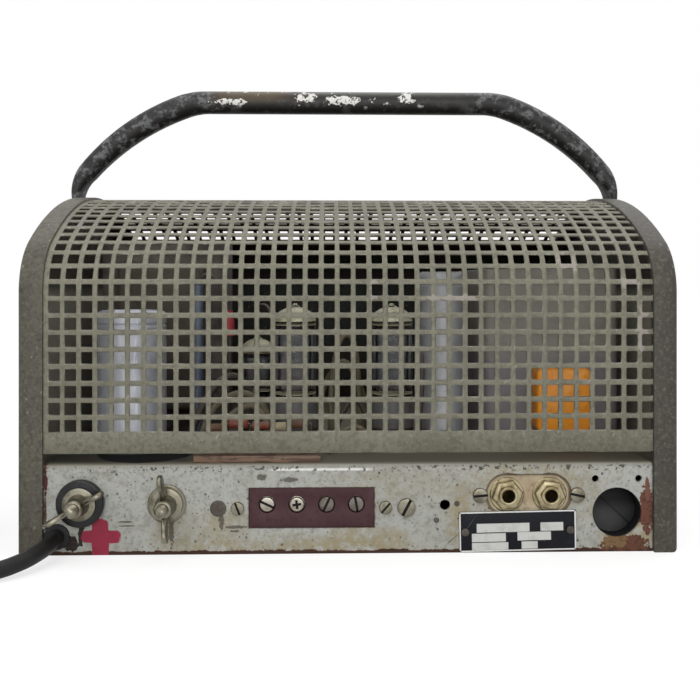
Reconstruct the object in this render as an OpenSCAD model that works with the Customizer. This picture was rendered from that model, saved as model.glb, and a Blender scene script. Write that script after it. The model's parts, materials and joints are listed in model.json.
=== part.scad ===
// Portable valve amplifier in a steel case: pale chassis tray with terminals and jacks,
// perforated cover between two end cheeks, bent tube handle, mains lead with plug.
// Millimetres, +Z up. The origin is the middle of the footprint on the floor,
// and the terminal panel faces -Y.

/* [Case] */
// Width across the two end cheeks
body_w = 330; // [310:1:400]
// Depth of the cover, front face to back face
body_depth = 230; // [220:1:280]
// Height of the chassis tray
chassis_h = 45; // [44:0.5:52]
// Thickness of the chassis sheet
chassis_t = 1.5; // [1:0.1:2]
// Outside radius of the bends along the tray's top edges
tray_bend_r = 2.5; // [2:0.1:5]
// How far the panels sit back from the cover's faces
panel_set = 1; // [0.5:0.1:3]
// Thickness of the bottom plate
bottom_t = 1.2; // [0.8:0.1:1.4]
// Width of the flanges that the bottom plate is held to
flange_w = 9; // [6:0.5:14]

/* [Cover] */
// Thickness of the cover sheet
cover_t = 1.2; // [0.8:0.1:2]
// Open gap between the tray and the cover's lower edge
cover_gap = 5.5; // [3:0.5:8]
// Height of the plain band along the cover's lower edge
band_h = 10.5; // [6:0.5:16]
// Height at which the upright face turns into the shoulder
shoulder_h = 130.5; // [125:0.5:160]
// Outside radius of the shoulder
shoulder_r = 31; // [20:0.5:45]
// Angle that the shoulder turns through before the crown begins
shoulder_turn = 57; // [45:1:70]

/* [Grille] */
// Pitch of the modelled openings along the width, each standing for two by two small holes
grille_pitch_x = 16; // [12:0.5:24]
// Nominal pitch of the openings around the profile
grille_pitch_up = 16.9; // [12:0.1:24]
// Width of the bars between the openings
grille_bar = 2.5; // [1.5:0.1:5]
// Rows of openings on the crown's back half, below which the back is plain sheet
rear_rows = 5; // [3:1:6]

/* [Cheeks] */
// Thickness of each end cheek
cheek_w = 12.5; // [10:0.5:18]
// Wall thickness of the cheek's outer plate and rim
cheek_wall = 3; // [2.5:0.1:4]
// How far the cheek stands proud of the cover
cheek_proud = 1.4; // [1:0.1:2.5]
// Rounding of the cheek's outer edge
cheek_edge_r = 3; // [1:0.1:3]
// Depth of the groove that holds the cover's edge
groove_depth = 5; // [3:0.5:6]
// Clearance around the cover's edge in the groove
groove_play = 0.15; // [0.1:0.05:0.3]
// Thread diameter of the cheek screws
cheek_screw_d = 4; // [3:0.5:5]
// Distance between neighbouring cheek screws
cheek_screw_step = 60; // [40:1:65]
// Height of the cheek screws
cheek_screw_z = 22; // [15:1:30]

/* [Handle] */
// Diameter of the handle tube
handle_d = 13.5; // [10:0.5:18]
// Height above the crown at which the handle's ends start to bend inwards
ear_rise = 1.3; // [1:0.1:30]
// Thickness of the tube's flattened ends
ear_t = 4; // [3:0.2:9]
// Width of the flattened ends
ear_w = 19; // [16:0.5:26]
// How far the flattened ends reach down below the crown
ear_drop = 34.8; // [32:0.1:45]
// Radius of the bend beside the flat bar
bend_near_r = 45; // [35:1:60]
// Radius of the long side arc
bend_side_r = 140; // [120:1:160]
// Radius of the bend into the flattened end
bend_end_r = 25; // [20:1:32]
// Diameter of the handle bolts
handle_bolt_d = 5; // [4:0.5:6]
// Distance between the two bolts of one end
handle_bolt_step = 16; // [12:0.5:20]

/* [Battery terminals] */
// Diameter of the threaded studs
stud_d = 6; // [5:0.5:8]
// Distance of the insulated terminal from the panel's left end
plus_from_left = 18.5; // [16:0.5:30]
// Height of the insulated terminal
plus_z = 26.3; // [22:0.1:30]
// Distance between the two terminals
terminal_step = 42.5; // [38:0.5:60]
// Height of the earthed terminal
minus_z = 25.5; // [20:0.1:30]
// Diameter of the insulator
insulator_d = 23.5; // [20:0.5:26]
// Thickness of the insulator in front of the panel
insulator_t = 4; // [2:0.5:6]
// Diameter of the earthed terminal's fixed collar
collar_d = 19; // [16:0.5:22]
// Thickness of the fixed collar
collar_t = 2; // [1:0.5:4]
// Diameter of the loose washers
washer_d = 16.5; // [14:0.5:18]
// Thickness of the loose washers
washer_t = 1.5; // [1:0.1:2.5]
// Length of the wing nuts' hubs
hub_len = 10; // [8:0.5:12]
// Diameter of the hubs at the washer
hub_d = 10.5; // [9.5:0.5:12]
// Radius that the wing tips reach
wing_r = 16.8; // [14:0.1:17]
// Thickness of the wings
wing_t = 2.4; // [1.5:0.1:3]
// Travel of a wing nut along its stud
nut_travel = 4; // [2:0.5:5]

/* [Terminal board] */
// Middle of the board's window from the middle of the panel
board_x = -19.5; // [-25:0.5:-10]
// Height of the middle of the window
board_z = 23; // [20:0.5:26]
// Width of the window
board_w = 63; // [60:0.5:70]
// Height of the window
board_h = 20; // [18:0.5:24]
// Depth of the board behind the panel
board_depth = 11; // [9:0.5:16]
// How far the board's face sits back in the window
board_sink = 0.4; // [0.2:0.1:0.8]
// Distance between neighbouring terminal screws
clamp_step = 14.9; // [13:0.1:15.5]
// Diameter of the recesses around the terminal screws
recess_d = 8.6; // [8:0.1:10]
// Depth of the recesses
recess_depth = 2.6; // [2.5:0.1:4]
// Thread diameter of the terminal screws
clamp_screw_d = 4; // [3:0.5:4.5]
// Head diameter of the terminal screws
clamp_head_d = 7.5; // [6.5:0.1:7.8]
// Distance from the window's edge to the board's fixing screws
board_fix_gap = 5.5; // [5:0.5:8]

/* [Jacks] */
// Distance of the jack group's middle from the panel's right end
jacks_from_right = 62.8; // [60:0.1:66]
// Height of the middle of the jack group
jacks_z = 28.8; // [26:0.1:30]
// Distance between the two jacks
jack_step = 21.5; // [20:0.1:23]
// Diameter of the jack's bore
jack_bore_d = 6.5; // [6:0.1:7]
// Diameter of the jack's threaded bushing
jack_bush_d = 9.5; // [9:0.1:11]
// Size across the flats of the jack nuts
jack_nut_af = 14; // [13:0.5:15]
// Thickness of the jack nuts
jack_nut_t = 3.5; // [2:0.5:5]
// Thickness of the plate that carries the jacks
jack_plate_t = 2; // [1.5:0.1:3]
// Distance between the two screws of the jack plate
jack_screw_step = 49; // [47:0.5:52]

/* [Type plate] */
// Width of the blank type plate
plate_w = 59; // [50:1:60]
// Height of the type plate
plate_h = 20; // [18:0.1:20]
// Thickness of the type plate
plate_t = 0.8; // [0.5:0.1:1.2]
// Distance of the plate's middle from the panel's right end
plate_from_right = 68.5; // [66:0.1:76]
// Height of the middle of the plate
plate_z = 10.9; // [10.6:0.1:11.2]
// How far the plate is turned
plate_turn = 1; // [-1:0.5:1]

/* [Voltage selector] */
// Distance of the round opening from the panel's right end
selector_from_right = 18; // [17:0.5:22]
// Height of the middle of the opening
selector_z = 19.8; // [19:0.1:22]
// Diameter of the opening in the panel
selector_d = 25; // [22:0.5:26]
// Diameter of the turning drum
drum_d = 24.4; // [20:0.2:25]
// Thickness of the drum
drum_t = 6; // [4:0.5:8]
// How far the drum's face sits behind the panel's face
drum_sink = 9; // [6:0.5:12]
// Diameter of the drum's spindle
spindle_d = 5; // [4:0.5:8]

/* [Mains lead] */
// Diameter of the mains lead
lead_d = 8; // [7.6:0.1:8.2]
// Distance of the lead's hole from the panel's left end
lead_from_left = 6.5; // [6.5:0.1:7]
// Height of the lead's hole
lead_z = 9.5; // [9.4:0.1:9.8]
// Diameter of the grommet's neck in the panel
grommet_d = 10; // [9:0.5:10.5]
// Diameter of the grommet's lips
grommet_lip_d = 12.6; // [12:0.1:12.8]
// Thickness of the grommet's lips
grommet_lip_t = 1.5; // [1:0.1:2]
// Radius of the coil's outermost turn
coil_r = 57; // [55:1:60]
// Turns that spiral in, and again out
coil_turns = 2.4375; // [2.4375:1:3.4375]
// Distance between neighbouring turns and between the two layers
coil_step = 8.8; // [8.7:0.1:9]
// Diameter of the plug's body
plug_d = 26; // [22:0.5:27]
// Length of the plug's body
plug_len = 24; // [20:1:32]
// Length of the plug's tapered neck
plug_neck_len = 30; // [28:1:36]
// Diameter of the plug's pins
pin_d = 4.8; // [4:0.1:5]
// Length of the pins
pin_len = 19; // [15:0.5:20]
// Distance between the pins
pin_step = 16; // [14:0.5:19]

/* [Parts on the deck] */
// Diameter of the silver can
silver_can_d = 37.5; // [32:0.5:40]
// Height of the silver can above the deck
silver_can_h = 76; // [60:1:80]
// Diameter of the grey can
grey_can_d = 27.6; // [24:0.1:30]
// How far the grey can stays below the top of the transformer box
can_below_box = 0.6; // [0.2:0.1:20]
// Diameter of the output valves' bulbs
valve_d = 24; // [20:0.5:26]
// Height of the output valves above the deck
valve_h = 79; // [70:1:85]
// Height of the valve sockets
socket_h = 9; // [7:0.5:12]
// Width of the transformer box
box_w = 74; // [66:1:76]
// Depth of the transformer box
box_depth = 104; // [90:1:110]
// Height of the transformer box
box_h = 98; // [85:1:100]
// Sheet thickness of the transformer box
box_t = 1.5; // [1:0.1:3]
// Width of the orange capacitor
orange_w = 29; // [24:1:34]
// Height of the orange capacitor
orange_h = 34; // [28:1:40]
// Thickness of the orange capacitor
orange_t = 14; // [10:1:15]
// Width of the output transformer's core
core_w = 74; // [66:1:78]
// Height of the output transformer's core
core_h = 115; // [100:1:120]
// Stack thickness of the core
core_t = 40; // [34:1:44]
// Thickness of the brown board strip
strip_t = 3.5; // [2:0.5:5]

/* [Controls at the back] */
// Distance between neighbouring knobs
knob_step = 50; // [40:1:55]
// Diameter of the knobs
knob_d = 32; // [24:1:36]
// Height of the knobs
knob_len = 17; // [12:1:22]
// Height of the control axes
control_z = 24; // [22:0.5:26]
// Diameter of the control spindles
control_spindle_d = 6; // [5:0.5:6.5]
// Diameter of the potentiometers
pot_d = 26; // [20:1:30]
// Length of the switch lever outside its bush
lever_len = 16; // [12:1:20]
// Angle that the switch lever is thrown through
lever_throw = 30; // [20:1:32]

/* [Hidden] */
$fn = 64;
run_play = 0.05;
fit_play = 0.1;
eps = 0.01;
cut = 1;

half = body_depth / 2;
panel_w = body_w - 2 * cheek_w;
panel_face = -half + panel_set;
panel_back = panel_face + chassis_t;
rear_face = half - panel_set;
rear_back = rear_face - chassis_t;
left_end = -panel_w / 2;
right_end = panel_w / 2;
deck = chassis_h;
cover_bottom = chassis_h + cover_gap;
band_top = cover_bottom + band_h;
cover_w = panel_w + 2 * groove_depth - 2 * groove_play;

// Junction of the shoulder and the crown, and the crown's own circle
join_y = half - shoulder_r * (1 - cos(shoulder_turn));
join_z = shoulder_h + shoulder_r * sin(shoulder_turn);
crown_r = join_y / cos(shoulder_turn);
crown_c = join_z - crown_r * sin(shoulder_turn);
crown_top = crown_c + crown_r;
ear_bottom = crown_top - ear_drop;
ear_pad_t = 6;
cheek_screw_reach = 6;

// Lengths along the profile from the band to the crown's middle
run_flat = shoulder_h - band_top;
run_shoulder = shoulder_r * shoulder_turn * PI / 180;
run_crown = crown_r * (90 - shoulder_turn) * PI / 180;
run_half = run_flat + run_shoulder + run_crown;
grille_rows = round(run_half / grille_pitch_up);
grille_step = run_half / grille_rows;
grille_cols = floor(panel_w / grille_pitch_x);
// Bar in which the front and top grilles meet, and its turn about the crown's centre
seam_row = round((run_flat + run_shoulder) / grille_step);
seam_at = on_profile(seam_row * grille_step);
seam_turn = atan2(seam_at[1] - crown_c, -seam_at[0]);
seam_play = 0.1;

plus_x = left_end + plus_from_left;
minus_x = plus_x + terminal_step;
lead_x = left_end + lead_from_left;
jacks_x = right_end - jacks_from_right;
plate_x = right_end - plate_from_right;
selector_x = right_end - selector_from_right;
insulator_wall = 2.8;
insulator_bush_d = stud_d + 2 * insulator_wall;
insulator_inner_t = 3;
insulator_step = 2;
stud_nut_t = 4.5;
stud_tail = 3;
stud_hex_af = stud_d * 1.7;
wing_lean = 30;
minus_lean = 95;
wing_tip_r = 4;

// Screws of the panel: [x, z, head diameter]
small_head_d = 6.5;
wide_head_d = 9;
head_t = 1.8;
panel_screw_d = 3;
panel_screw_len = 6;
board_fix_x = board_w / 2 + board_fix_gap;
loose_screw_gap = 10.5;
panel_screws_at = [
  [board_x - board_fix_x, board_z, small_head_d],
  [board_x + board_fix_x, board_z, small_head_d],
  [board_x + board_fix_x + loose_screw_gap, board_z, wide_head_d]];
// Rivets of the panel: [x, z, head diameter]
blank_d = 8;
rivet_d = 2.6;
rivet_head_t = 0.8;
rivet_tail = 1;
blank_gap = 9.7;
vent_d = 5.2;
vent_gap = 42.3;
vent_x = jacks_x - vent_gap;
vent_z = 24;
vent_rivets = [[6, 0.7], [-4.3, -7.5]];
panel_rivets_at = [
  [board_x - board_fix_x - blank_gap, board_z, blank_d],
  for (p = vent_rivets) [vent_x + p[0], vent_z + p[1], rivet_d]];
small_hole_d = 3.5;
small_hole_gap = 11;
small_hole_rise = 17;

clamp_ring_t = 0.8;
clamp_ring_play = 0.3;
clamp_slot_w = 1.2;
clamp_head_t = 1.6;
clamp_rise = 1.5;
clamp_z = board_z + clamp_rise;
board_lip = 2.5;
board_ear = 5;
clamp_shank = 7;
clamps_at = [for (k = [0:3]) board_x + (k - 1.5) * clamp_step];
recess_floor = panel_face + board_sink + recess_depth;

jack_window_h = 20;
jack_window_r = 9;
jack_window_side = 11;
jack_window_w = jack_step + 2 * jack_window_side;
jack_plate_ear = 5;
jack_plate_w = jack_screw_step + 2 * jack_plate_ear;
jack_plate_h = 25;
jack_proud = 1.5;
jack_front = panel_back - jack_nut_t - jack_proud;
jack_body_len = 20;
jack_body_wall = 2.5;
jack_floor = 2;
jack_bore_len = panel_back + jack_plate_t + jack_body_len - jack_front - jack_floor;
jack_leaf = [6, 14, 0.6];
jack_leaf_off = 4;
jack_screw_head_d = 7.5;
plate_rivet_d = 4;
plate_rivet_in = 3;

selector_wall = 2.5;
selector_back_t = 2.5;
drum_face = panel_face + drum_sink;
drum_back = drum_face + drum_t;
drum_gap = 0.4;
spindle_tail = 1;
drum_slot_w = 1.2;
drum_slot_depth = 1;
drum_slot_turn = 42;
drum_clip_t = 1.2;
drum_clip_lip = 1.5;

can_rim = 1.5;
can_foot_t = 3;
can_step = 1.5;
socket_rim = 2;
socket_step = 1.5;
socket_foot_t = 6;
socket_seat = 8;
box_corner = 4;
box_flange = 3;
deck_gap = 1.3;
valve_gap = 0.5;
valve_step = 54.7;
first_valve_d = 20;
first_valve_h = 58;
first_valve_gap = 7;
first_valve_set = 110;
first_valve_y = -half + first_valve_set;
box_from_right = 41.5;
box_x = right_end - box_from_right;
box_set = 40;
box_front = -half + box_set;
grey_can_x = box_x - box_w / 2 - box_flange - deck_gap - can_rim - grey_can_d / 2;
grey_can_h = box_h - can_below_box;
grey_can_set = 70;
grey_can_y = -half + grey_can_set;
valves_set = 60;
valves_y = -half + valves_set;
right_valve_x = grey_can_x - grey_can_d / 2 - can_rim - valve_gap - socket_rim - valve_d / 2;
valves_x = [right_valve_x - valve_step, right_valve_x];
silver_can_from_left = 33.7;
silver_can_x = left_end + silver_can_from_left;
silver_can_set = 45;
silver_can_y = -half + silver_can_set;
orange_shift = 3.3;
orange_x = box_x + orange_shift;
orange_rise = 28;
orange_z = deck + orange_rise;
orange_corner = 3;
core_from_left = 4.5;
core_x = left_end + core_from_left + core_w / 2;
core_behind = 75;
core_y = silver_can_y + core_behind;
core_leg = core_w / 5;
coil_gap = 0.3;
first_valve_x = core_x + core_w / 2 + first_valve_gap + socket_rim + first_valve_d / 2;
strip_x = -47;
strip_w = 64;
strip_depth = 15;
strip_set = 1;

knobs_from_left = 62.5;
first_knob_x = left_end + knobs_from_left;
knobs_at = [for (k = [0:2]) first_knob_x + k * knob_step];
switch_from_right = 82.5;
switch_x = right_end - switch_from_right;
lamp_from_right = 40.5;
lamp_x = right_end - lamp_from_right;
pot_len = 12;
pot_bush_wall = 1.75;
pot_bush_d = control_spindle_d + 2 * pot_bush_wall;
pot_floor = 1;
knob_lip = 2;
knob_foot = 4;
knob_seat = 1;
pot_nut_af = 12;
pot_nut_t = 2.5;
bush_len = 9;
switch_bush_d = 12;
switch_bore_d = 9;
switch_pin_d = 2;
lamp_d = 13;
lamp_neck_d = 10;
lamp_lens_d = 11;
lamp_rim_t = 2;
lamp_len = 14;

olive = [0.42, 0.42, 0.37];
pale_grey = [0.72, 0.73, 0.70];
nickel = [0.68, 0.65, 0.56];
dull_steel = [0.45, 0.45, 0.43];
bakelite = [0.07, 0.07, 0.07];
brown_board = [0.27, 0.19, 0.19];
rubber_black = [0.05, 0.05, 0.05];

// Shapes that repeat

// Extrudes an outline drawn in Y and Z along X, about the middle
module along_x(len) {
  rotate([90, 0, 90])
    translate([0, 0, -len / 2])
      linear_extrude(len)
        children();
}

// A round bar along Y from y0 to y1
module y_bar(x, z, d, y0, y1) {
  translate([x, y0, z])
    rotate([-90, 0, 0])
      cylinder(d = d, h = y1 - y0);
}

// A round bar along X from x0 to x1
module x_bar(y, z, d, x0, x1) {
  translate([x0, y, z])
    rotate([0, 90, 0])
      cylinder(d = d, h = x1 - x0);
}

// A hexagon nut along Y, with its bore
module y_nut(x, z, af, bore, y0, y1) {
  difference() {
    translate([x, y0, z])
      rotate([-90, 0, 0])
        cylinder(d = af / cos(30), h = y1 - y0, $fn = 6);
    y_bar(x, z, bore, y0 - cut, y1 + cut);
  }
}

// A screw whose head lies on the plane y = face and points to -Y, with a slot across it
module slotted_screw(x, z, head, shank, face, depth, turn) {
  slot_w = head * 0.16;
  difference() {
    union() {
      y_bar(x, z, head, face - head_t, face);
      y_bar(x, z, shank, face - eps, face + depth);
    }
    translate([x, face - head_t, z])
      rotate([0, turn, 0])
        cube([head * 2, head_t, slot_w], center = true);
  }
}

// A plate with rounded corners, w by h in X and Z, from y0 to y1
module rounded_plate(x, z, w, h, r, y0, y1) {
  translate([x, y1, z])
    rotate([90, 0, 0])
      linear_extrude(y1 - y0)
        rounded_square(w, h, r);
}

module rounded_square(w, h, r) {
  square([w - 2 * r, h], center = true);
  square([w, h - 2 * r], center = true);
  for (sx = [-1, 1], sy = [-1, 1])
    translate([sx * (w / 2 - r), sy * (h / 2 - r)])
      circle(r);
}

// Outline of the case in Y and Z, drawn in by inset: upright sides, shoulders, middle and crown.
// The sides and the crown stop a seam short of where the shoulders' arcs touch them.
module case_profile(inset) {
  seam = 0.6;
  r = shoulder_r - inset;
  c = half - shoulder_r;
  z = shoulder_h + r * sin(shoulder_turn);
  translate([-half + inset, 0])
    square([2 * (half - inset), shoulder_h - seam]);
  for (side = [-1, 1])
    translate([side * c, shoulder_h])
      circle(r);
  translate([-c, 0])
    square([2 * c, z + 2 * seam]);
  intersection() {
    translate([0, crown_c])
      circle(crown_r - inset, $fn = 128);
    translate([-half, z + seam])
      square([2 * half, crown_r]);
  }
}

// Outline of the tray in Y and Z, drawn in by inset and open below
module tray_profile(inset) {
  y = rear_face - inset;
  r = tray_bend_r - inset;
  top = chassis_h - inset;
  low = inset > 0 ? -cut : 0;
  translate([-y, low])
    square([2 * y, top - r - low]);
  translate([-y + r, low])
    square([2 * (y - r), top - low]);
  for (side = [-1, 1])
    translate([side * (y - r), top - r])
      circle(r);
}

// Place and lean of a point on the case profile, s along it from the band
function on_profile(s) =
  s < run_flat ? [-half, band_top + s, 0]
  : s < run_flat + run_shoulder
    ? let (a = (s - run_flat) / shoulder_r * 180 / PI)
      [-(half - shoulder_r) - shoulder_r * cos(a), shoulder_h + shoulder_r * sin(a), a]
  : let (a = shoulder_turn + (s - run_flat - run_shoulder) / crown_r * 180 / PI)
    [-crown_r * cos(a), crown_c + crown_r * sin(a), a];

// Case

module chassis() {
  color(pale_grey)
    difference() {
      union() {
        difference() {
          along_x(panel_w) tray_profile(0);
          along_x(panel_w - 2 * chassis_t) tray_profile(chassis_t);
        }
        for (side = [-1, 1])
          translate([-panel_w / 2 + eps, side > 0 ? rear_back - flange_w : panel_back - eps, bottom_t])
            cube([panel_w - 2 * eps, flange_w + eps, chassis_t]);
      }
      panel_cuts();
      rear_cuts();
      deck_cuts();
      for (side = [-1, 1], y = cheek_screws_y())
        x_bar(y, cheek_screw_z, cheek_screw_d + 2 * fit_play,
          side * panel_w / 2 - 2 * chassis_t, side * panel_w / 2 + 2 * chassis_t);
    }
}

// Holes of the terminal panel
module panel_cuts() {
  y0 = panel_face - cut;
  y1 = panel_back + cut;
  y_bar(plus_x, plus_z, insulator_bush_d + 2 * fit_play, y0, y1);
  y_bar(minus_x, minus_z, stud_d + 2 * fit_play, y0, y1);
  y_bar(lead_x, lead_z, grommet_d + 2 * fit_play, y0, y1);
  translate([board_x - board_w / 2, y0, board_z - board_h / 2])
    cube([board_w, y1 - y0, board_h]);
  for (s = panel_screws_at)
    y_bar(s[0], s[1], panel_screw_d + 2 * fit_play, y0, y1);
  for (r = panel_rivets_at)
    y_bar(r[0], r[1], r[2] / 2 + 2 * fit_play, y0, y1);
  y_bar(vent_x, vent_z, vent_d, y0, y1);
  rounded_plate(jacks_x, jacks_z, jack_window_w, jack_window_h, jack_window_r, y0, y1);
  for (side = [-1, 1])
    y_bar(jacks_x + side * jack_screw_step / 2, jacks_z, panel_screw_d + 2 * fit_play, y0, y1);
  for (p = plate_rivets_at())
    y_bar(p[0], p[1], plate_rivet_d / 2 + 2 * fit_play, y0, y1);
  y_bar(selector_x, selector_z, selector_d, y0, y1);
  for (side = [-1, 1])
    y_bar(selector_x + side * small_hole_gap, selector_z + small_hole_rise, small_hole_d, y0, y1);
}

// Holes of the rear panel
module rear_cuts() {
  y0 = rear_back - cut;
  y1 = rear_face + cut;
  for (x = knobs_at)
    y_bar(x, control_z, pot_bush_d + 2 * fit_play, y0, y1);
  y_bar(switch_x, control_z, switch_bush_d + 2 * fit_play, y0, y1);
  y_bar(lamp_x, control_z, lamp_neck_d + 2 * fit_play, y0, y1);
}

// Holes under the valve sockets
module deck_cuts() {
  for (p = sockets_at())
    translate([p[0], p[1], deck - chassis_t - cut])
      cylinder(d = p[2] - socket_seat, h = chassis_t + 2 * cut);
}

module bottom_plate() {
  play = 0.4;
  inner = panel_w - 2 * chassis_t - 2 * play;
  color(dull_steel)
    translate([-inner / 2, panel_back + play, 0])
      cube([inner, rear_back - panel_back - 2 * play, bottom_t]);
}

function cheek_screws_y() = [for (k = [0:3]) (k - 1.5) * cheek_screw_step];
function handle_bolts_z() = [ear_bottom + ear_w / 2, ear_bottom + ear_w / 2 + handle_bolt_step];

// One end cheek on the +X side: rounded outer edge, pocket, groove for the cover, screw bosses
module cheek() {
  x_in = panel_w / 2;
  plate_in = body_w / 2 - cheek_wall;
  boss_d = cheek_screw_d + 6;
  pad_r = handle_bolt_d;
  difference() {
    union() {
      difference() {
        cheek_body();
        difference() {
          slab(x_in - cut, plate_in - x_in + cut, cheek_wall);
          translate([0, -half, -cut])
            cube([body_w, 2 * half, cheek_wall + cut]);
        }
      }
      for (y = cheek_screws_y())
        x_bar(y, cheek_screw_z, boss_d, x_in, plate_in + eps);
      translate([plate_in - ear_pad_t, -ear_w / 2, handle_bolts_z()[0] - pad_r])
        cube([ear_pad_t + eps, ear_w, handle_bolt_step + 2 * pad_r]);
    }
    translate([x_in - cut, 0, 0])
      groove();
    for (y = cheek_screws_y())
      x_bar(y, cheek_screw_z, cheek_screw_d + 2 * fit_play, x_in - cut, body_w / 2 + cut);
    for (z = handle_bolts_z())
      x_bar(0, z, handle_bolt_d + 2 * fit_play, plate_in - ear_pad_t - cut, body_w / 2 + cut);
  }
}

// The solid cheek, its outer edge rounded off in fine steps
edge_steps = 4;
module cheek_body() {
  x_edge = body_w / 2 - cheek_edge_r;
  slab(panel_w / 2, x_edge - panel_w / 2, -cheek_proud);
  for (k = [1:edge_steps])
    let (a0 = 90 * (k - 1) / edge_steps, a1 = 90 * k / edge_steps, am = (a0 + a1) / 2)
      slab(x_edge + cheek_edge_r * sin(a0) - eps, cheek_edge_r * (sin(a1) - sin(a0)) + eps,
        cheek_edge_r * (1 - cos(am)) - cheek_proud);
}

// A slice of the case outline, t thick from x on
module slab(x, t, inset) {
  translate([x, 0, 0])
    rotate([90, 0, 90])
      linear_extrude(t)
        case_profile(inset);
}

// The slot that takes the cover's edge
module groove() {
  rotate([90, 0, 90])
    linear_extrude(groove_depth + cut)
      difference() {
        case_profile(-groove_play);
        case_profile(cover_t + groove_play);
        translate([-2 * half, -cut])
          square([4 * half, cover_bottom - groove_play + cut]);
      }
}

module right_cheek() {
  color(olive) cheek();
}

module left_cheek() {
  color(olive) mirror([1, 0, 0]) cheek();
}

module cheek_screws() {
  head_d = cheek_screw_d * 2;
  head_h = cheek_screw_d / 2;
  color(dull_steel)
    for (side = [0, 1], y = cheek_screws_y())
      mirror([side, 0, 0]) {
        x_bar(y, cheek_screw_z, head_d, body_w / 2, body_w / 2 + head_h);
        x_bar(y, cheek_screw_z, cheek_screw_d, panel_w / 2 - cheek_screw_reach, body_w / 2 + eps);
      }
}

// Cover: front and top grilles and a plain back sheet, which meet in the middle of a bar

// Outline of the whole cover sheet in Y and Z
module cover_sheet() {
  difference() {
    case_profile(0);
    case_profile(cover_t);
    translate([-2 * half, -cut])
      square([4 * half, cover_bottom + cut]);
  }
}

// The wedge of the outline that the top grille takes, let down by play
module top_sector(play) {
  reach = 2 * crown_r;
  translate([0, crown_c - play / cos(seam_turn)])
    polygon([[0, 0], [-reach * cos(seam_turn), reach * sin(seam_turn)],
      [reach * cos(seam_turn), reach * sin(seam_turn)]]);
}

// What the top grille leaves of the sheet on the front (-1) or back (1) side
module side_sheet(side) {
  intersection() {
    difference() {
      cover_sheet();
      top_sector(seam_play);
    }
    translate([side < 0 ? -2 * half : 0, 0])
      square([2 * half, 2 * half]);
  }
}

// Rows of openings from k0 to k1, on the front or (back = 1) on the back half
module grille_openings(k0, k1, back) {
  open_w = grille_pitch_x - grille_bar;
  open_h = grille_step - grille_bar;
  reach = 4;
  for (k = [k0:k1])
    let (p = on_profile((k + 0.5) * grille_step))
      mirror([0, back, 0])
        translate([0, p[0], p[1]])
          rotate([-p[2], 0, 0])
            for (c = [0:grille_cols - 1])
              translate([(c - (grille_cols - 1) / 2) * grille_pitch_x, 0, 0])
                cube([open_w, 2 * reach, open_h], center = true);
}

module front_grille() {
  color(olive)
    difference() {
      along_x(cover_w) side_sheet(-1);
      grille_openings(0, seam_row - 1, 0);
    }
}

module top_grille() {
  color(olive)
    difference() {
      along_x(cover_w)
        intersection() {
          cover_sheet();
          top_sector(0);
        }
      grille_openings(seam_row, grille_rows - 1, 0);
      grille_openings(grille_rows - rear_rows, grille_rows - 1, 1);
    }
}

module back_sheet() {
  color(olive) along_x(cover_w) side_sheet(1);
}

// Handle: a tube swept along a bar, three bends and a flattened end at each side

bend_turns = [20, 30, 40];
bend_radii = [bend_near_r, bend_side_r, bend_end_r];
function bend_start(k) = k == 0 ? 0 : bend_start(k - 1) + bend_turns[k - 1];
function bend_dx(k, a) = bend_radii[k] * (sin(bend_start(k) + a) - sin(bend_start(k)));
function bend_dz(k, a) = bend_radii[k] * (cos(bend_start(k)) - cos(bend_start(k) + a));
handle_end_x = body_w / 2 + ear_t / 2;
handle_reach = bend_dx(0, bend_turns[0]) + bend_dx(1, bend_turns[1]) + bend_dx(2, bend_turns[2]);
handle_drop = bend_dz(0, bend_turns[0]) + bend_dz(1, bend_turns[1]) + bend_dz(2, bend_turns[2]);
bar_half = handle_end_x - handle_reach;
handle_z = crown_top + ear_rise + handle_drop;
bend_rings = [3, 8, 6];
// Share of the flattening that the long side arc takes before the last bend
arc_flat = 0.3;

// Rings of one half, from the middle outwards: [x, z, slope, flatness, width factor]
function bend_ring(k, i) =
  let (a = bend_turns[k] * i / bend_rings[k])
    [bar_half + (k > 0 ? bend_dx(0, bend_turns[0]) : 0) + (k > 1 ? bend_dx(1, bend_turns[1]) : 0)
       + bend_dx(k, a),
     handle_z - (k > 0 ? bend_dz(0, bend_turns[0]) : 0) - (k > 1 ? bend_dz(1, bend_turns[1]) : 0)
       - bend_dz(k, a),
     bend_start(k) + a,
     k == 0 ? 0 : k == 1 ? arc_flat * pow(i / bend_rings[k], 2)
       : arc_flat + (1 - arc_flat) * i / bend_rings[k], 1];
half_rings = concat(
  [for (i = [0:2]) [bar_half * i / 3, handle_z, 0, 0, 1]],
  [for (k = [0:2], i = [k == 0 ? 0 : 1:bend_rings[k]]) bend_ring(k, i)],
  [for (f = [[0.5, 1], [0.86, 1], [0.95, 0.86], [1, 0.5]])
    [handle_end_x, handle_z - handle_drop - f[0] * (handle_z - handle_drop - ear_bottom), 90, 1, f[1]]]);
handle_rings = concat(
  [for (i = [len(half_rings) - 1:-1:1])
    let (r = half_rings[i]) [-r[0], r[1], -r[2], r[3], r[4]]],
  half_rings);

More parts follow.
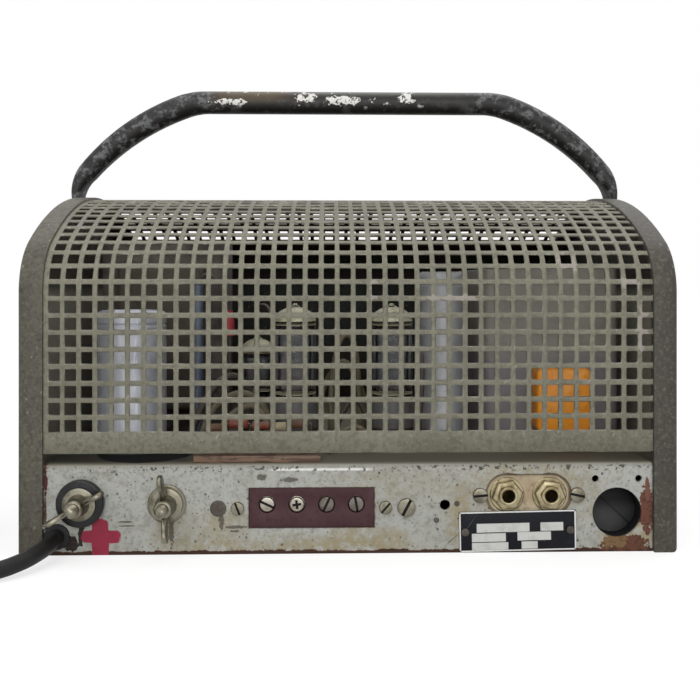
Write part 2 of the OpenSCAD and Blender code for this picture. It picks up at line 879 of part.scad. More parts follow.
// Outline of the tube, round or flattened, as points across the bend and along Y
arc_steps = 4;
function tube_point(flat, wide, i) =
  let (hx = handle_d / 2 + flat * (ear_t - handle_d) / 2,
       hy = (handle_d / 2 + flat * (ear_w - handle_d) / 2) * wide,
       r = min(hx, hy),
       q = floor(i / (arc_steps + 1)),
       a = q * 90 + (i % (arc_steps + 1)) * 90 / arc_steps,
       cx = (q == 0 || q == 3 ? 1 : -1) * (hx - r + 0.02),
       cy = (q < 2 ? 1 : -1) * (hy - r + 0.02))
    [cx + (r - 0.02) * cos(a), cy + (r - 0.02) * sin(a)];
ring_sides = 4 * (arc_steps + 1);
function ring_points(ring) =
  [for (i = [0:ring_sides - 1])
    let (p = tube_point(ring[3], ring[4], i))
      [ring[0] + p[0] * sin(ring[2]), p[1], ring[1] + p[0] * cos(ring[2])]];

// Side and end faces of a tube of rings
function tube_faces(rings, sides) = concat(
  [for (k = [0:rings - 2], i = [0:sides - 1], t = [0, 1])
    let (a = k * sides + i, b = k * sides + (i + 1) % sides)
      t == 0 ? [a, a + sides, b] : [b, a + sides, b + sides]],
  [for (i = [1:sides - 2]) [0, i, i + 1]],
  [for (i = [1:sides - 2]) let (o = (rings - 1) * sides) [o, o + i + 1, o + i]]);

module handle() {
  color(bakelite)
    difference() {
      polyhedron([for (r = handle_rings) each ring_points(r)], tube_faces(len(handle_rings), ring_sides));
      for (z = handle_bolts_z(), side = [-1, 1])
        x_bar(0, z, handle_bolt_d + 2 * fit_play,
          side * handle_end_x - ear_t, side * handle_end_x + ear_t);
    }
}

module handle_bolts() {
  head_h = 3;
  color(dull_steel)
    for (side = [0, 1], z = handle_bolts_z())
      mirror([side, 0, 0]) {
        x_bar(0, z, handle_bolt_d * 1.8, body_w / 2 + ear_t, body_w / 2 + ear_t + head_h);
        x_bar(0, z, handle_bolt_d, body_w / 2 - cheek_wall - ear_pad_t, body_w / 2 + ear_t + eps);
      }
}

// Battery terminals

plus_seat = panel_face - insulator_t;
minus_seat = panel_face - collar_t;
stud_spare = 2;
function stud_tip(seat) = seat - washer_t - hub_len - nut_travel - stud_spare;

module battery_insulator() {
  back = panel_back + insulator_inner_t;
  color(bakelite)
    difference() {
      union() {
        y_bar(plus_x, plus_z, insulator_d, plus_seat, panel_face);
        y_bar(plus_x, plus_z, insulator_bush_d, panel_face - eps, panel_back + eps);
        y_bar(plus_x, plus_z, insulator_d - 2 * insulator_step, panel_back, back);
      }
      y_bar(plus_x, plus_z, stud_d + 2 * fit_play, plus_seat - cut, back + cut);
    }
}

// A stud with the hexagon that holds it behind the panel
module stud(x, z, seat, hex_from) {
  y_bar(x, z, stud_d, stud_tip(seat), hex_from + stud_nut_t + stud_tail);
  translate([x, hex_from, z])
    rotate([-90, 0, 0])
      cylinder(d = stud_hex_af / cos(30), h = stud_nut_t, $fn = 6);
}

module plus_stud() {
  color(nickel) stud(plus_x, plus_z, plus_seat, panel_back + insulator_inner_t);
}

module minus_stud() {
  color(nickel) {
    stud(minus_x, minus_z, minus_seat, panel_back);
    y_bar(minus_x, minus_z, collar_d, minus_seat, panel_face);
  }
}

module loose_washer(x, z, seat) {
  difference() {
    y_bar(x, z, washer_d, seat - washer_t, seat);
    y_bar(x, z, stud_d + 2 * run_play, seat - washer_t - cut, seat + cut);
  }
}

// A wing nut on the washer: a tapered hub and two wings that rise towards their tips
module wing_nut(x, z, seat, lean) {
  base = seat - washer_t;
  difference() {
    translate([x, base, z])
      rotate([90, 0, 0]) {
        cylinder(d1 = hub_d, d2 = hub_d - 1.6, h = hub_len);
        for (side = [0, 180])
          rotate([0, 0, lean + side])
            rotate([90, 0, 0])
              translate([0, 0, -wing_t / 2])
                linear_extrude(wing_t)
                  wing_outline();
      }
    y_bar(x, z, stud_d + 2 * run_play, base - hub_len - cut, base + cut);
  }
}

// One wing in the plane of the stud: across the stud and along it
module wing_outline() {
  hull() {
    translate([hub_d / 2 - 1, 2])
      square([0.5, hub_len - 4]);
    translate([wing_r - wing_tip_r, hub_len - 1])
      circle(wing_tip_r, $fn = 32);
  }
}

module plus_washer() {
  color(nickel) loose_washer(plus_x, plus_z, plus_seat);
}

module minus_washer() {
  color(nickel) loose_washer(minus_x, minus_z, minus_seat);
}

module plus_wing_nut() {
  color(nickel) wing_nut(plus_x, plus_z, plus_seat, wing_lean);
}

module minus_wing_nut() {
  color(nickel) wing_nut(minus_x, minus_z, minus_seat, minus_lean);
}

// Terminal board

module terminal_board() {
  play = 0.2;
  back_w = 2 * (board_fix_x + board_ear);
  color(brown_board)
    difference() {
      union() {
        translate([board_x - board_w / 2 + play, panel_face + board_sink, board_z - board_h / 2 + play])
          cube([board_w - 2 * play, chassis_t - board_sink + eps, board_h - 2 * play]);
        translate([board_x - back_w / 2, panel_back, board_z - board_h / 2 - board_lip])
          cube([back_w, board_depth, board_h + 2 * board_lip]);
      }
      for (x = clamps_at) {
        y_bar(x, clamp_z, recess_d, panel_face - cut, recess_floor);
        y_bar(x, clamp_z, clamp_screw_d + 2 * run_play, recess_floor - cut, recess_floor + clamp_shank + cut);
      }
      for (k = [0, 1])
        y_bar(panel_screws_at[k][0], board_z, panel_screw_d + 2 * fit_play,
          panel_back - cut, panel_back + board_depth + cut);
    }
}

// A loose ring under the head of terminal screw k
module clamp_ring(k) {
  color(nickel)
    difference() {
      y_bar(clamps_at[k], clamp_z, recess_d - 2 * clamp_ring_play, recess_floor - clamp_ring_t, recess_floor);
      y_bar(clamps_at[k], clamp_z, clamp_screw_d + 2 * run_play,
        recess_floor - clamp_ring_t - cut, recess_floor + cut);
    }
}

module terminal_screw(k) {
  head_base = recess_floor - clamp_ring_t;
  turn = 25 + k * 40;
  color(nickel)
    difference() {
      union() {
        y_bar(clamps_at[k], clamp_z, clamp_head_d, head_base - clamp_head_t, head_base);
        y_bar(clamps_at[k], clamp_z, clamp_screw_d, head_base - eps, recess_floor + clamp_shank);
      }
      translate([clamps_at[k], head_base - clamp_head_t, clamp_z])
        rotate([0, turn, 0])
          cube([2 * clamp_head_d, clamp_head_t, clamp_slot_w], center = true);
    }
}

module terminal_screw_1() { terminal_screw(0); }
module terminal_screw_2() { terminal_screw(1); }
module terminal_screw_3() { terminal_screw(2); }
module terminal_screw_4() { terminal_screw(3); }
module clamp_ring_1() { clamp_ring(0); }
module clamp_ring_2() { clamp_ring(1); }
module clamp_ring_3() { clamp_ring(2); }
module clamp_ring_4() { clamp_ring(3); }

module panel_screws() {
  turns = [70, -40, 60];
  color(nickel)
    for (k = [0:2])
      slotted_screw(panel_screws_at[k][0], panel_screws_at[k][1], panel_screws_at[k][2],
        panel_screw_d, panel_face, panel_screw_len, turns[k]);
}

module panel_rivets() {
  color(dull_steel)
    for (r = panel_rivets_at) {
      y_bar(r[0], r[1], r[2], panel_face - rivet_head_t, panel_face);
      y_bar(r[0], r[1], r[2] / 2, panel_face - eps, panel_back + rivet_tail);
    }
  type_plate_rivets();
}

// Jacks

function jack_x(side) = jacks_x + side * jack_step / 2;

module jack_plate() {
  y0 = panel_back;
  y1 = panel_back + jack_plate_t;
  color([0.62, 0.53, 0.38])
    difference() {
      rounded_plate(jacks_x, jacks_z, jack_plate_w, jack_plate_h, 3, y0, y1);
      for (side = [-1, 1]) {
        y_bar(jack_x(side), jacks_z, jack_bush_d + 2 * fit_play, y0 - cut, y1 + cut);
        y_bar(jacks_x + side * jack_screw_step / 2, jacks_z, panel_screw_d + 2 * fit_play,
          y0 - cut, y1 + cut);
      }
    }
}

// A jack socket: threaded bushing with its bore, body and two contact leaves
module jack(side) {
  back = panel_back + jack_plate_t;
  color(nickel)
    difference() {
      union() {
        y_bar(jack_x(side), jacks_z, jack_bush_d, jack_front, back + eps);
        y_bar(jack_x(side), jacks_z, jack_bush_d + 2 * jack_body_wall, back, back + jack_body_len);
        for (s = [-1, 1])
          translate([jack_x(side), back + jack_body_len - cut + jack_leaf[1] / 2, jacks_z + s * jack_leaf_off])
            cube(jack_leaf, center = true);
      }
      y_bar(jack_x(side), jacks_z, jack_bore_d, jack_front - cut, jack_front + jack_bore_len);
    }
}

module left_jack() { jack(-1); }
module right_jack() { jack(1); }

module jack_nuts() {
  color(nickel)
    for (side = [-1, 1])
      y_nut(jack_x(side), jacks_z, jack_nut_af, jack_bush_d + 2 * fit_play,
        panel_back - jack_nut_t, panel_back);
}

module jack_screws() {
  color(nickel)
    for (side = [-1, 1])
      slotted_screw(jacks_x + side * jack_screw_step / 2, jacks_z, jack_screw_head_d, panel_screw_d,
        panel_face, panel_screw_len, 20 + 30 * side);
}

// Type plate, blank

function plate_rivets_at() = [for (side = [-1, 1])
  let (r = side * (plate_w / 2 - plate_rivet_in))
    [plate_x + r * cos(plate_turn), plate_z + r * sin(plate_turn)]];

module type_plate() {
  color([0.10, 0.11, 0.14])
    difference() {
      translate([plate_x, panel_face, plate_z])
        rotate([0, -plate_turn, 0])
          translate([-plate_w / 2, -plate_t, -plate_h / 2])
            cube([plate_w, plate_t, plate_h]);
      for (p = plate_rivets_at())
        y_bar(p[0], p[1], plate_rivet_d / 2 + 2 * fit_play, panel_face - plate_t - cut, panel_face + cut);
    }
}

module type_plate_rivets() {
  face = panel_face - plate_t;
  color(dull_steel)
    for (p = plate_rivets_at()) {
      y_bar(p[0], p[1], plate_rivet_d, face - rivet_head_t, face);
      y_bar(p[0], p[1], plate_rivet_d / 2, face - eps, panel_back + rivet_tail);
    }
}

// Voltage selector

module selector_body() {
  inner_d = drum_d + 2 * drum_gap;
  back = drum_back + drum_gap;
  color([0.16, 0.16, 0.17])
    difference() {
      y_bar(selector_x, selector_z, inner_d + 2 * selector_wall, panel_back, back + selector_back_t);
      y_bar(selector_x, selector_z, inner_d, panel_back - cut, back);
      y_bar(selector_x, selector_z, spindle_d + 2 * run_play, back - cut, back + selector_back_t + cut);
    }
}

module selector_drum() {
  back = drum_back + drum_gap + selector_back_t;
  clip = back + drum_gap;
  color([0.30, 0.30, 0.31])
    difference() {
      union() {
        y_bar(selector_x, selector_z, drum_d, drum_face, drum_back);
        y_bar(selector_x, selector_z, spindle_d, drum_back - eps, clip + drum_clip_t + spindle_tail);
        y_bar(selector_x, selector_z, spindle_d + 2 * drum_clip_lip, clip, clip + drum_clip_t);
      }
      translate([selector_x, drum_face, selector_z])
        rotate([0, drum_slot_turn, 0])
          cube([drum_d * 2, drum_slot_depth * 2, drum_slot_w], center = true);
    }
}

// Mains lead: grommet, free tube, coil, tie and plug

// Route of the free tube from the grommet to the coil
lead_route = [
  [-146, -115.5, 9.5], [-146, -118, 9.5], [-146, -121.5, 9.3], [-146.5, -126, 8.8],
  [-147.5, -131, 8.1], [-149.5, -136, 7.3], [-152, -141, 6.5], [-155.5, -145.5, 5.7],
  [-159.5, -149.5, 5], [-164.5, -153, 4.5], [-170, -155.5, 4.2], [-176, -157.2, 4.1],
  [-183, -158, 4.1], [-195, -158, 4.2], [-207, -158, 4.6], [-219, -158, 5.1],
  [-231, -158, 5.4], [-240, -158, 5.4]];
coil_x = -248;
coil_y = -158 + coil_r;
coil_z = 5.4;
loop_rings = 24;
tube_sides = 8;
coil_sides = 6;

function unit(v) = v / norm(v);
function route_heading(p, i) =
  let (a = p[max(i - 1, 0)], b = p[min(i + 1, len(p) - 1)]) unit(b - a);

// A ring of points round p, square to heading h
function tube_ring(p, h, r, sides) =
  let (u = unit(cross(h, [0, 0, 1])), v = cross(u, h))
    [for (i = [0:sides - 1]) p + r * (cos((i + 0.5) * 360 / sides) * u + sin((i + 0.5) * 360 / sides) * v)];

module tube(points, headings, sides) {
  polyhedron(
    [for (i = [0:len(points) - 1]) each tube_ring(points[i], headings[i], lead_d / 2, sides)],
    tube_faces(len(points), sides));
}

// Coil: spirals in on the floor, climbs a layer in half a turn, spirals out again
coil_total = 2 * coil_turns + 0.5;
function coil_radius(t) =
  t < coil_turns ? coil_r - coil_step * t
  : t > coil_turns + 0.5 ? coil_r - coil_step * (coil_total - t)
  : let (f = t - coil_turns) coil_r - coil_step * (coil_turns + f - 2 * f * f);
function coil_rise(t) =
  let (f = max(0, min(1, (t - coil_turns) * 2))) coil_step * f * f * (3 - 2 * f);
function coil_point(t) =
  let (a = -90 - 360 * t)
    [coil_x + coil_radius(t) * cos(a), coil_y + coil_radius(t) * sin(a), coil_z + coil_rise(t)];
coil_steps = round(coil_total * loop_rings);
coil_turn_points = [for (k = [0:coil_steps]) coil_point(coil_total * k / coil_steps)];
plug_angle = -90 - 360 * coil_total;
plug_heading = [sin(plug_angle), -cos(plug_angle), 0];
coil_points = concat(
  [coil_turn_points[0] + [lead_d, 0, 0]],
  coil_turn_points,
  [coil_turn_points[coil_steps] + lead_d * plug_heading]);
coil_headings = [for (i = [0:len(coil_points) - 1])
  i < 2 ? [-1, 0, 0] : i > len(coil_points) - 3 ? plug_heading : route_heading(coil_points, i)];
lead_headings = [for (i = [0:len(lead_route) - 1])
  i == 0 ? [0, -1, 0] : i == len(lead_route) - 1 ? [-1, 0, 0] : route_heading(lead_route, i)];
apart = loop_rings / 2;
coil_gap_least = min([for (i = [0:coil_steps - apart], j = [i + apart:coil_steps])
  norm(coil_turn_points[i] - coil_turn_points[j])]) - lead_d;
echo(least_gap_of_the_coil_to_itself = coil_gap_least);

module lead_grommet() {
  color(rubber_black) {
    y_bar(lead_x, lead_z, grommet_lip_d, panel_face - grommet_lip_t, panel_face);
    y_bar(lead_x, lead_z, grommet_d, panel_face - eps, panel_back + eps);
    difference() {
      y_bar(lead_x, lead_z, grommet_lip_d, panel_back, panel_back + grommet_lip_t);
      translate([left_end - grommet_lip_d, panel_back - cut, lead_z - grommet_lip_d])
        cube([grommet_lip_d + chassis_t + fit_play, grommet_lip_t + 2 * cut, 2 * grommet_lip_d]);
    }
  }
}

module mains_lead() {
  color(rubber_black) tube(lead_route, lead_headings, tube_sides);
}

module mains_lead_coil() {
  color(rubber_black) tube(coil_points, coil_headings, coil_sides);
}

// A flat band round the bundle of turns, on the side away from the case
module lead_tie() {
  band = 1;
  wide = 12;
  play = 0.5;
  r_in = coil_r - coil_step * (coil_turns + 0.2) - lead_d / 2 - play;
  r_out = coil_r + lead_d / 2 + play;
  low = coil_z - lead_d / 2 - play / 2;
  high = coil_z + coil_step + lead_d / 2 + play;
  color([0.12, 0.12, 0.13])
    translate([coil_x, coil_y, 0])
      difference() {
        translate([-r_out - band, -wide / 2, low - band])
          cube([r_out - r_in + 2 * band, wide, high - low + 2 * band]);
        translate([-r_out, -wide, low])
          cube([r_out - r_in, 2 * wide, high - low]);
      }
}

// A round two-pin plug along the coil's last heading
module mains_plug() {
  grip_d = lead_d + 4;
  taper = plug_neck_len / 2;
  color(bakelite)
    translate(coil_points[len(coil_points) - 1])
      rotate([0, 0, atan2(plug_heading[1], plug_heading[0])])
        rotate([0, 90, 0]) {
          cylinder(d1 = lead_d, d2 = grip_d, h = taper);
          translate([0, 0, taper])
            cylinder(d1 = grip_d, d2 = plug_d, h = taper);
          translate([0, 0, plug_neck_len])
            cylinder(d = plug_d, h = plug_len);
          for (side = [-1, 1])
            translate([0, side * pin_step / 2, plug_neck_len + plug_len - eps])
              cylinder(d = pin_d, h = pin_len);
        }
}

// Parts on the deck

// Valve sockets: [x, y, diameter]
function sockets_at() = [
  for (x = valves_x) [x, valves_y, valve_d + 2 * socket_rim],
  [first_valve_x, first_valve_y, first_valve_d + 2 * socket_rim]];

module valve_sockets() {
  color(bakelite)
    for (p = sockets_at())
      translate([p[0], p[1], deck]) {
        cylinder(d = p[2], h = socket_foot_t);
        cylinder(d = p[2] - 2 * socket_step, h = socket_h);
      }
}

// A glass bulb on its socket, with a domed top and a sealing tip
module valve(x, y, d, h) {
  tip_h = 4;
  tip_in = 2;
  dome_z = h - socket_h - d / 2 - tip_h + tip_in;
  color([0.75, 0.8, 0.8])
    translate([x, y, deck + socket_h]) {
      cylinder(d = d, h = dome_z);
      translate([0, 0, dome_z])
        sphere(d = d);
      translate([0, 0, h - socket_h - tip_h])
        cylinder(d1 = d / 4, d2 = d / 10, h = tip_h);
    }
}

module left_output_valve() { valve(valves_x[0], valves_y, valve_d, valve_h); }
module right_output_valve() { valve(valves_x[1], valves_y, valve_d, valve_h); }
module first_valve() { valve(first_valve_x, first_valve_y, first_valve_d, first_valve_h); }

// A drawn can with a rolled rim at the foot and a stepped top
module can(x, y, d, h) {
  translate([x, y, deck]) {
    cylinder(d = d + 2 * can_rim, h = can_foot_t);
    cylinder(d = d, h = h - can_step);
    cylinder(d = d - 2 * can_step, h = h);
  }
}

module silver_can() {
  color([0.75, 0.75, 0.78]) can(silver_can_x, silver_can_y, silver_can_d, silver_can_h);
}

module grey_can() {
  color([0.62, 0.63, 0.62]) can(grey_can_x, grey_can_y, grey_can_d, grey_can_h);
}

// Sheet box over the mains transformer, open below, with a flange round its foot
module transformer_box() {
  color([0.55, 0.56, 0.54])
    translate([box_x, box_front + box_depth / 2, deck])
      difference() {
        union() {
          linear_extrude(box_h) rounded_square(box_w, box_depth, box_corner);
          linear_extrude(box_t) rounded_square(box_w + 2 * box_flange, box_depth + 2 * box_flange, box_corner);
        }
        translate([0, 0, -cut])
          linear_extrude(box_h - box_t + cut)
            rounded_square(box_w - 2 * box_t, box_depth - 2 * box_t, box_corner - box_t);
      }
}

// Core block of the mains transformer, standing inside its box
module transformer_core() {
  gap = 3;
  w = box_w - 2 * box_t - 2 * gap;
  d = box_depth - 2 * box_t - 2 * gap;
  h = box_h - box_t - gap;
  color(dull_steel)
    translate([box_x - w / 2, box_front + box_depth / 2 - d / 2, deck])
      cube([w, d, h]);
}

module orange_capacitor() {
  color([0.88, 0.47, 0.08])
    rounded_plate(orange_x, orange_z, orange_w, orange_h, orange_corner, box_front - orange_t, box_front);
}

// Laminated core of the output transformer, with its two windows
module output_core() {
  window_w = core_leg;
  window_h = core_h - 2 * core_leg;
  color(dull_steel)
    difference() {
      translate([core_x - core_w / 2, core_y - core_t / 2, deck])
        cube([core_w, core_t, core_h]);
      for (side = [-1, 1])
        translate([core_x + side * core_leg * 1.25 - window_w / 2, core_y - core_t, deck + core_leg])
          cube([window_w, 2 * core_t, window_h]);
    }
}

// Winding round the middle leg of the core
module output_winding() {
  leg_half = core_leg * 0.75 + coil_gap;
  out_half = core_leg * 1.75 - coil_gap;
  reach = core_t / 2 + core_leg - 2 * coil_gap;
  h = core_h - 2 * core_leg;
  color([0.35, 0.22, 0.15])
    difference() {
      translate([core_x - out_half, core_y - reach, deck + core_leg])
        cube([2 * out_half, 2 * reach, h]);
      translate([core_x - leg_half, core_y - core_t / 2 - coil_gap, deck + core_leg - cut])
        cube([2 * leg_half, core_t + 2 * coil_gap, h + 2 * cut]);
    }
}

// Strip of brown board along the deck's front edge, with a row of tags
module board_strip() {
  y0 = panel_face + tray_bend_r + strip_set;
  tags = 6;
  tag_d = 3;
  tag_h = 3;
  tag_in = 4;
  color([0.45, 0.30, 0.22]) {
    translate([strip_x - strip_w / 2, y0, deck])
      cube([strip_w, strip_depth, strip_t]);
    for (k = [0:tags - 1])
      translate([strip_x + (k - (tags - 1) / 2) * strip_w / tags, y0 + strip_depth - tag_in, deck + strip_t - eps])
        cylinder(d = tag_d, h = tag_h);
  }
}

// Controls on the rear panel

// A fluted knob with its spindle, turning in the potentiometer's bush
module knob(k) {
  base = rear_face + bush_len;
  flutes = 12;
  flute_d = 4;
  flute_off = 0.8;
  mark_w = 1.2;
  mark_depth = 0.6;
  mark_from = 3;
  color(bakelite)
    translate([knobs_at[k], 0, control_z])
      difference() {
        union() {
          y_bar(0, 0, knob_d, base, base + knob_len - knob_lip);
          y_bar(0, 0, knob_d - 2 * knob_lip, base, base + knob_len);
          y_bar(0, 0, control_spindle_d, rear_back - pot_len + 2 * pot_floor, base + eps);
        }
        for (a = [0:flutes - 1])
          rotate([0, a * 360 / flutes, 0])
            y_bar(knob_d / 2 + flute_off, 0, flute_d, base + knob_foot, base + knob_len + cut);
        translate([-mark_w / 2, base + knob_len - mark_depth, mark_from])
          cube([mark_w, mark_depth + cut, knob_d / 2]);
      }
}

module volume_knob() { knob(0); }
module tone_knob() { knob(1); }
module mixer_knob() { knob(2); }

module potentiometers() {
  color(dull_steel)
    for (x = knobs_at)
      difference() {
        union() {
          y_bar(x, control_z, pot_d, rear_back - pot_len, rear_back);
          y_bar(x, control_z, pot_bush_d, rear_back - eps, rear_face + bush_len - knob_seat);
          translate([x, rear_face, control_z])
            rotate([-90, 0, 0])
              cylinder(d = pot_nut_af / cos(30), h = pot_nut_t, $fn = 6);
        }
        y_bar(x, control_z, control_spindle_d + 2 * run_play, rear_back - pot_len + pot_floor, rear_face + bush_len);
      }
}

lever_pivot_out = 2;
lever_pivot_y = rear_face + lever_pivot_out;

module switch_body() {
  body = [16, 18, 24];
  bore_back = 4;
  color(dull_steel)
    difference() {
      union() {
        translate([switch_x, rear_back - body[1] / 2, control_z])
          cube(body, center = true);
        y_bar(switch_x, control_z, switch_bush_d, rear_back - eps, rear_face + bush_len);
      }
      y_bar(switch_x, control_z, switch_bore_d, rear_face - bore_back, rear_face + bush_len + cut);
      x_bar(lever_pivot_y, control_z, switch_pin_d + 2 * run_play,
        switch_x - switch_bush_d, switch_x + switch_bush_d);
    }
}

// The switch's lever with its cross pin, thrown down at rest
module switch_lever() {
  stem_d = 3.6;
  tip_d = 6;
  heel = 2;
  out = bush_len - lever_pivot_out + lever_len;
  color(nickel)
    translate([switch_x, lever_pivot_y, control_z]) {
      rotate([-lever_throw / 2, 0, 0])
        rotate([-90, 0, 0]) {
          translate([0, 0, -heel])
            cylinder(d = stem_d, h = 2 * heel);
          cylinder(d1 = stem_d, d2 = tip_d, h = out);
          translate([0, 0, out])
            sphere(d = tip_d);
        }
      x_bar(0, 0, switch_pin_d, -switch_bush_d / 2, switch_bush_d / 2);
    }
}

module pilot_lamp() {
  color([0.7, 0.12, 0.1]) {
    y_bar(lamp_x, control_z, lamp_neck_d, rear_back - lamp_len, rear_face + eps);
    y_bar(lamp_x, control_z, lamp_d, rear_face, rear_face + lamp_rim_t);
    translate([lamp_x, rear_face + lamp_rim_t, control_z])
      intersection() {
        sphere(d = lamp_lens_d);
        translate([-lamp_d, 0, -lamp_d])
          cube(2 * lamp_d);
      }
  }
}

chassis();
bottom_plate();
left_cheek();
right_cheek();
cheek_screws();
front_grille();
top_grille();
back_sheet();
handle();
handle_bolts();
battery_insulator();
plus_stud();
plus_washer();
plus_wing_nut();
minus_stud();
minus_washer();
minus_wing_nut();
terminal_board();
terminal_screw_1();
terminal_screw_2();
terminal_screw_3();
terminal_screw_4();
clamp_ring_1();
clamp_ring_2();
clamp_ring_3();
clamp_ring_4();
panel_screws();
panel_rivets();
jack_plate();
left_jack();
right_jack();
jack_nuts();
jack_screws();
type_plate();
selector_body();
selector_drum();
lead_grommet();
mains_lead();
mains_lead_coil();
lead_tie();
mains_plug();
transformer_core();
transformer_box();
output_core();
output_winding();
silver_can();
grey_can();
left_output_valve();
right_output_valve();
first_valve();
valve_sockets();
orange_capacitor();
board_strip();
volume_knob();
tone_knob();
mixer_knob();
potentiometers();
switch_body();
switch_lever();
pilot_lamp();
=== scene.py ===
import json
from math import atan2, copysign, cos, pi, radians, sin

import bmesh
import bpy
from mathutils import Matrix, Vector


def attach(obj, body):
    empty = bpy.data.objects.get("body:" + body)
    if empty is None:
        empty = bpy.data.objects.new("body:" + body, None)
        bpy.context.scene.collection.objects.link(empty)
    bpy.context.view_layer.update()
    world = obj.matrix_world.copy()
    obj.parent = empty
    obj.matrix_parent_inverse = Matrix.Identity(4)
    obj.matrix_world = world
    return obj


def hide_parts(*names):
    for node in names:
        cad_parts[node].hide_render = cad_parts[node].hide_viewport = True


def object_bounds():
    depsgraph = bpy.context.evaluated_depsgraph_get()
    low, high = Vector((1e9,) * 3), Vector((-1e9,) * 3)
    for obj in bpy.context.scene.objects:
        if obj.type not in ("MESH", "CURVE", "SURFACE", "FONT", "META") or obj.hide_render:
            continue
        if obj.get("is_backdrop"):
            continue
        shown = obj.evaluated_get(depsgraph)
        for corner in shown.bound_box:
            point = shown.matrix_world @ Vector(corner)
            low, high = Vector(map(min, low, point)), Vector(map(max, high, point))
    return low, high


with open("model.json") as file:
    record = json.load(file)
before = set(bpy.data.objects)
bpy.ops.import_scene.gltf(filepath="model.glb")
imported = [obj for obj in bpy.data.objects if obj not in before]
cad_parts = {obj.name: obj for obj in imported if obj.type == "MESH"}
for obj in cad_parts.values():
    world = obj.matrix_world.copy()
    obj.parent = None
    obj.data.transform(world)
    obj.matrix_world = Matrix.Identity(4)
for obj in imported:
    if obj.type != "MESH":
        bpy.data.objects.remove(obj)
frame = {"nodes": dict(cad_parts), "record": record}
cad_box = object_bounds()
scene = bpy.context.scene
scene.view_settings.view_transform = "Standard"
MM = 0.001

# Sizes of the case, in millimetres, as the CAD source has them
HALF = 115.0
BODY_W = 330.0
CHEEK_W = 12.5
COVER_W = 314.7
COVER_BOTTOM = 50.5
BAND_TOP = 61.0
SHOULDER_H = 130.5
SHOULDER_R = 31.0
SHOULDER_TURN = radians(57)
CROWN_R = (HALF - SHOULDER_R * (1 - cos(SHOULDER_TURN))) / cos(SHOULDER_TURN)
CROWN_C = SHOULDER_H + (SHOULDER_R - CROWN_R) * sin(SHOULDER_TURN)
CROWN_TOP = CROWN_C + CROWN_R
RUN_FLAT = SHOULDER_H - BAND_TOP
RUN_SHOULDER = SHOULDER_R * SHOULDER_TURN
RUN_HALF = RUN_FLAT + RUN_SHOULDER + CROWN_R * (pi / 2 - SHOULDER_TURN)
PANEL_FACE = -114.0
BACK_FACE = 114.0
DECK = 45.0

# Places on the panel and on the back, in X and Z
PLUS, MINUS = (-134.0, 26.3), (-91.5, 25.5)
BOARD_SCREWS, BOARD_Z = (-41.85, -26.95, -12.05, 2.85), 24.5
JACKS, JACK_Z = (78.95, 100.45), 28.8
JACKS_MIDDLE = 89.7
PLATE = (84, 10.9)
KNOBS = (-90, -40, 10)
LAMP = (112, 24)

# Turns that lay a shape made along Z towards the terminal panel, the back or the right
TO_FRONT = Matrix.Rotation(pi / 2, 4, "X")
TO_BACK = Matrix.Rotation(-pi / 2, 4, "X")
TO_RIGHT = Matrix.Rotation(pi / 2, 4, "Y")


def at(x, y, z):
    return Matrix.Translation((x, y, z))


def placed(name, data):
    """A new object in the scene."""
    thing = bpy.data.objects.new(name, data)
    scene.collection.objects.link(thing)
    return thing


# Camera at the photograph's place, turned a little about the upright
YAW = radians(1.4)
AWAY = 0.448
camera = scene.camera = placed("camera", bpy.data.cameras.new("camera"))
camera.location = (-AWAY * sin(YAW), -0.115 - AWAY * cos(YAW), 0.1365)
camera.rotation_euler = (pi / 2, 0, -YAW)
camera.data.sensor_width = 36
camera.data.lens = 46.08
camera.data.shift_x = -0.001
camera.data.shift_y = -0.0986

# Materials


def tone(colour):
    """A colour read from the screen, as linear values. One with four values is linear already."""
    if len(colour) == 4:
        return colour
    return tuple(((c / 255 + 0.055) / 1.055) ** 2.4 for c in colour) + (1.0,)


class Net:
    """A node tree and the tools to build in it."""

    def __init__(self, tree):
        self.tree = tree

    def feed(self, socket, value):
        if isinstance(value, bpy.types.NodeSocket):
            self.tree.links.new(value, socket)
        else:
            socket.default_value = value

    def add(self, kind, inputs=None, **settings):
        """A new shader node. Returns its outputs."""
        node = self.tree.nodes.new("ShaderNode" + kind)
        for key, value in settings.items():
            setattr(node, key, value)
        for key, value in (inputs or {}).items():
            self.feed(node.inputs[key], value)
        return node.outputs

    def mix(self, factor, a, b):
        """A colour between two."""
        return self.add("Mix", {0: factor, 6: a, 7: b}, data_type="RGBA")[2]

    def blend(self, factor, a, b):
        """A value between two."""
        return self.add("Mix", {0: factor, 2: a, 3: b})[0]

    def calc(self, operation, a, b=0.0, clamp=False):
        return self.add("Math", {0: a, 1: b}, operation=operation, use_clamp=clamp)[0]

    def vector(self, operation, *inputs):
        return self.add("VectorMath", dict(enumerate(inputs)), operation=operation)

    def span(self, value, low, high):
        """Rises smoothly from 0 at low to 1 at high."""
        inputs = {"Value": value, "From Min": low, "From Max": high}
        return self.add("MapRange", inputs, interpolation_type="SMOOTHSTEP")["Result"]

    def noise(self, place, scale, detail, roughness=0.5):
        inputs = {"Vector": place, "Scale": scale, "Detail": detail, "Roughness": roughness}
        return self.add("TexNoise", inputs)["Fac"]


class Effect(Net):
    """A node group on a Vector, with one output."""

    def __init__(self, name, output="Mask", **inputs):
        super().__init__(bpy.data.node_groups.new(name, "ShaderNodeTree"))
        self.tree.interface.new_socket("Vector", in_out="INPUT", socket_type="NodeSocketVector")
        for label, value in inputs.items():
            kind = "NodeSocketVector" if isinstance(value, tuple) else "NodeSocketFloat"
            self.tree.interface.new_socket(label, in_out="INPUT", socket_type=kind).default_value = value
        self.tree.interface.new_socket(output, in_out="OUTPUT", socket_type="NodeSocketFloat")
        self.put = self.tree.nodes.new("NodeGroupInput").outputs
        self.out = self.tree.nodes.new("NodeGroupOutput").inputs[0]


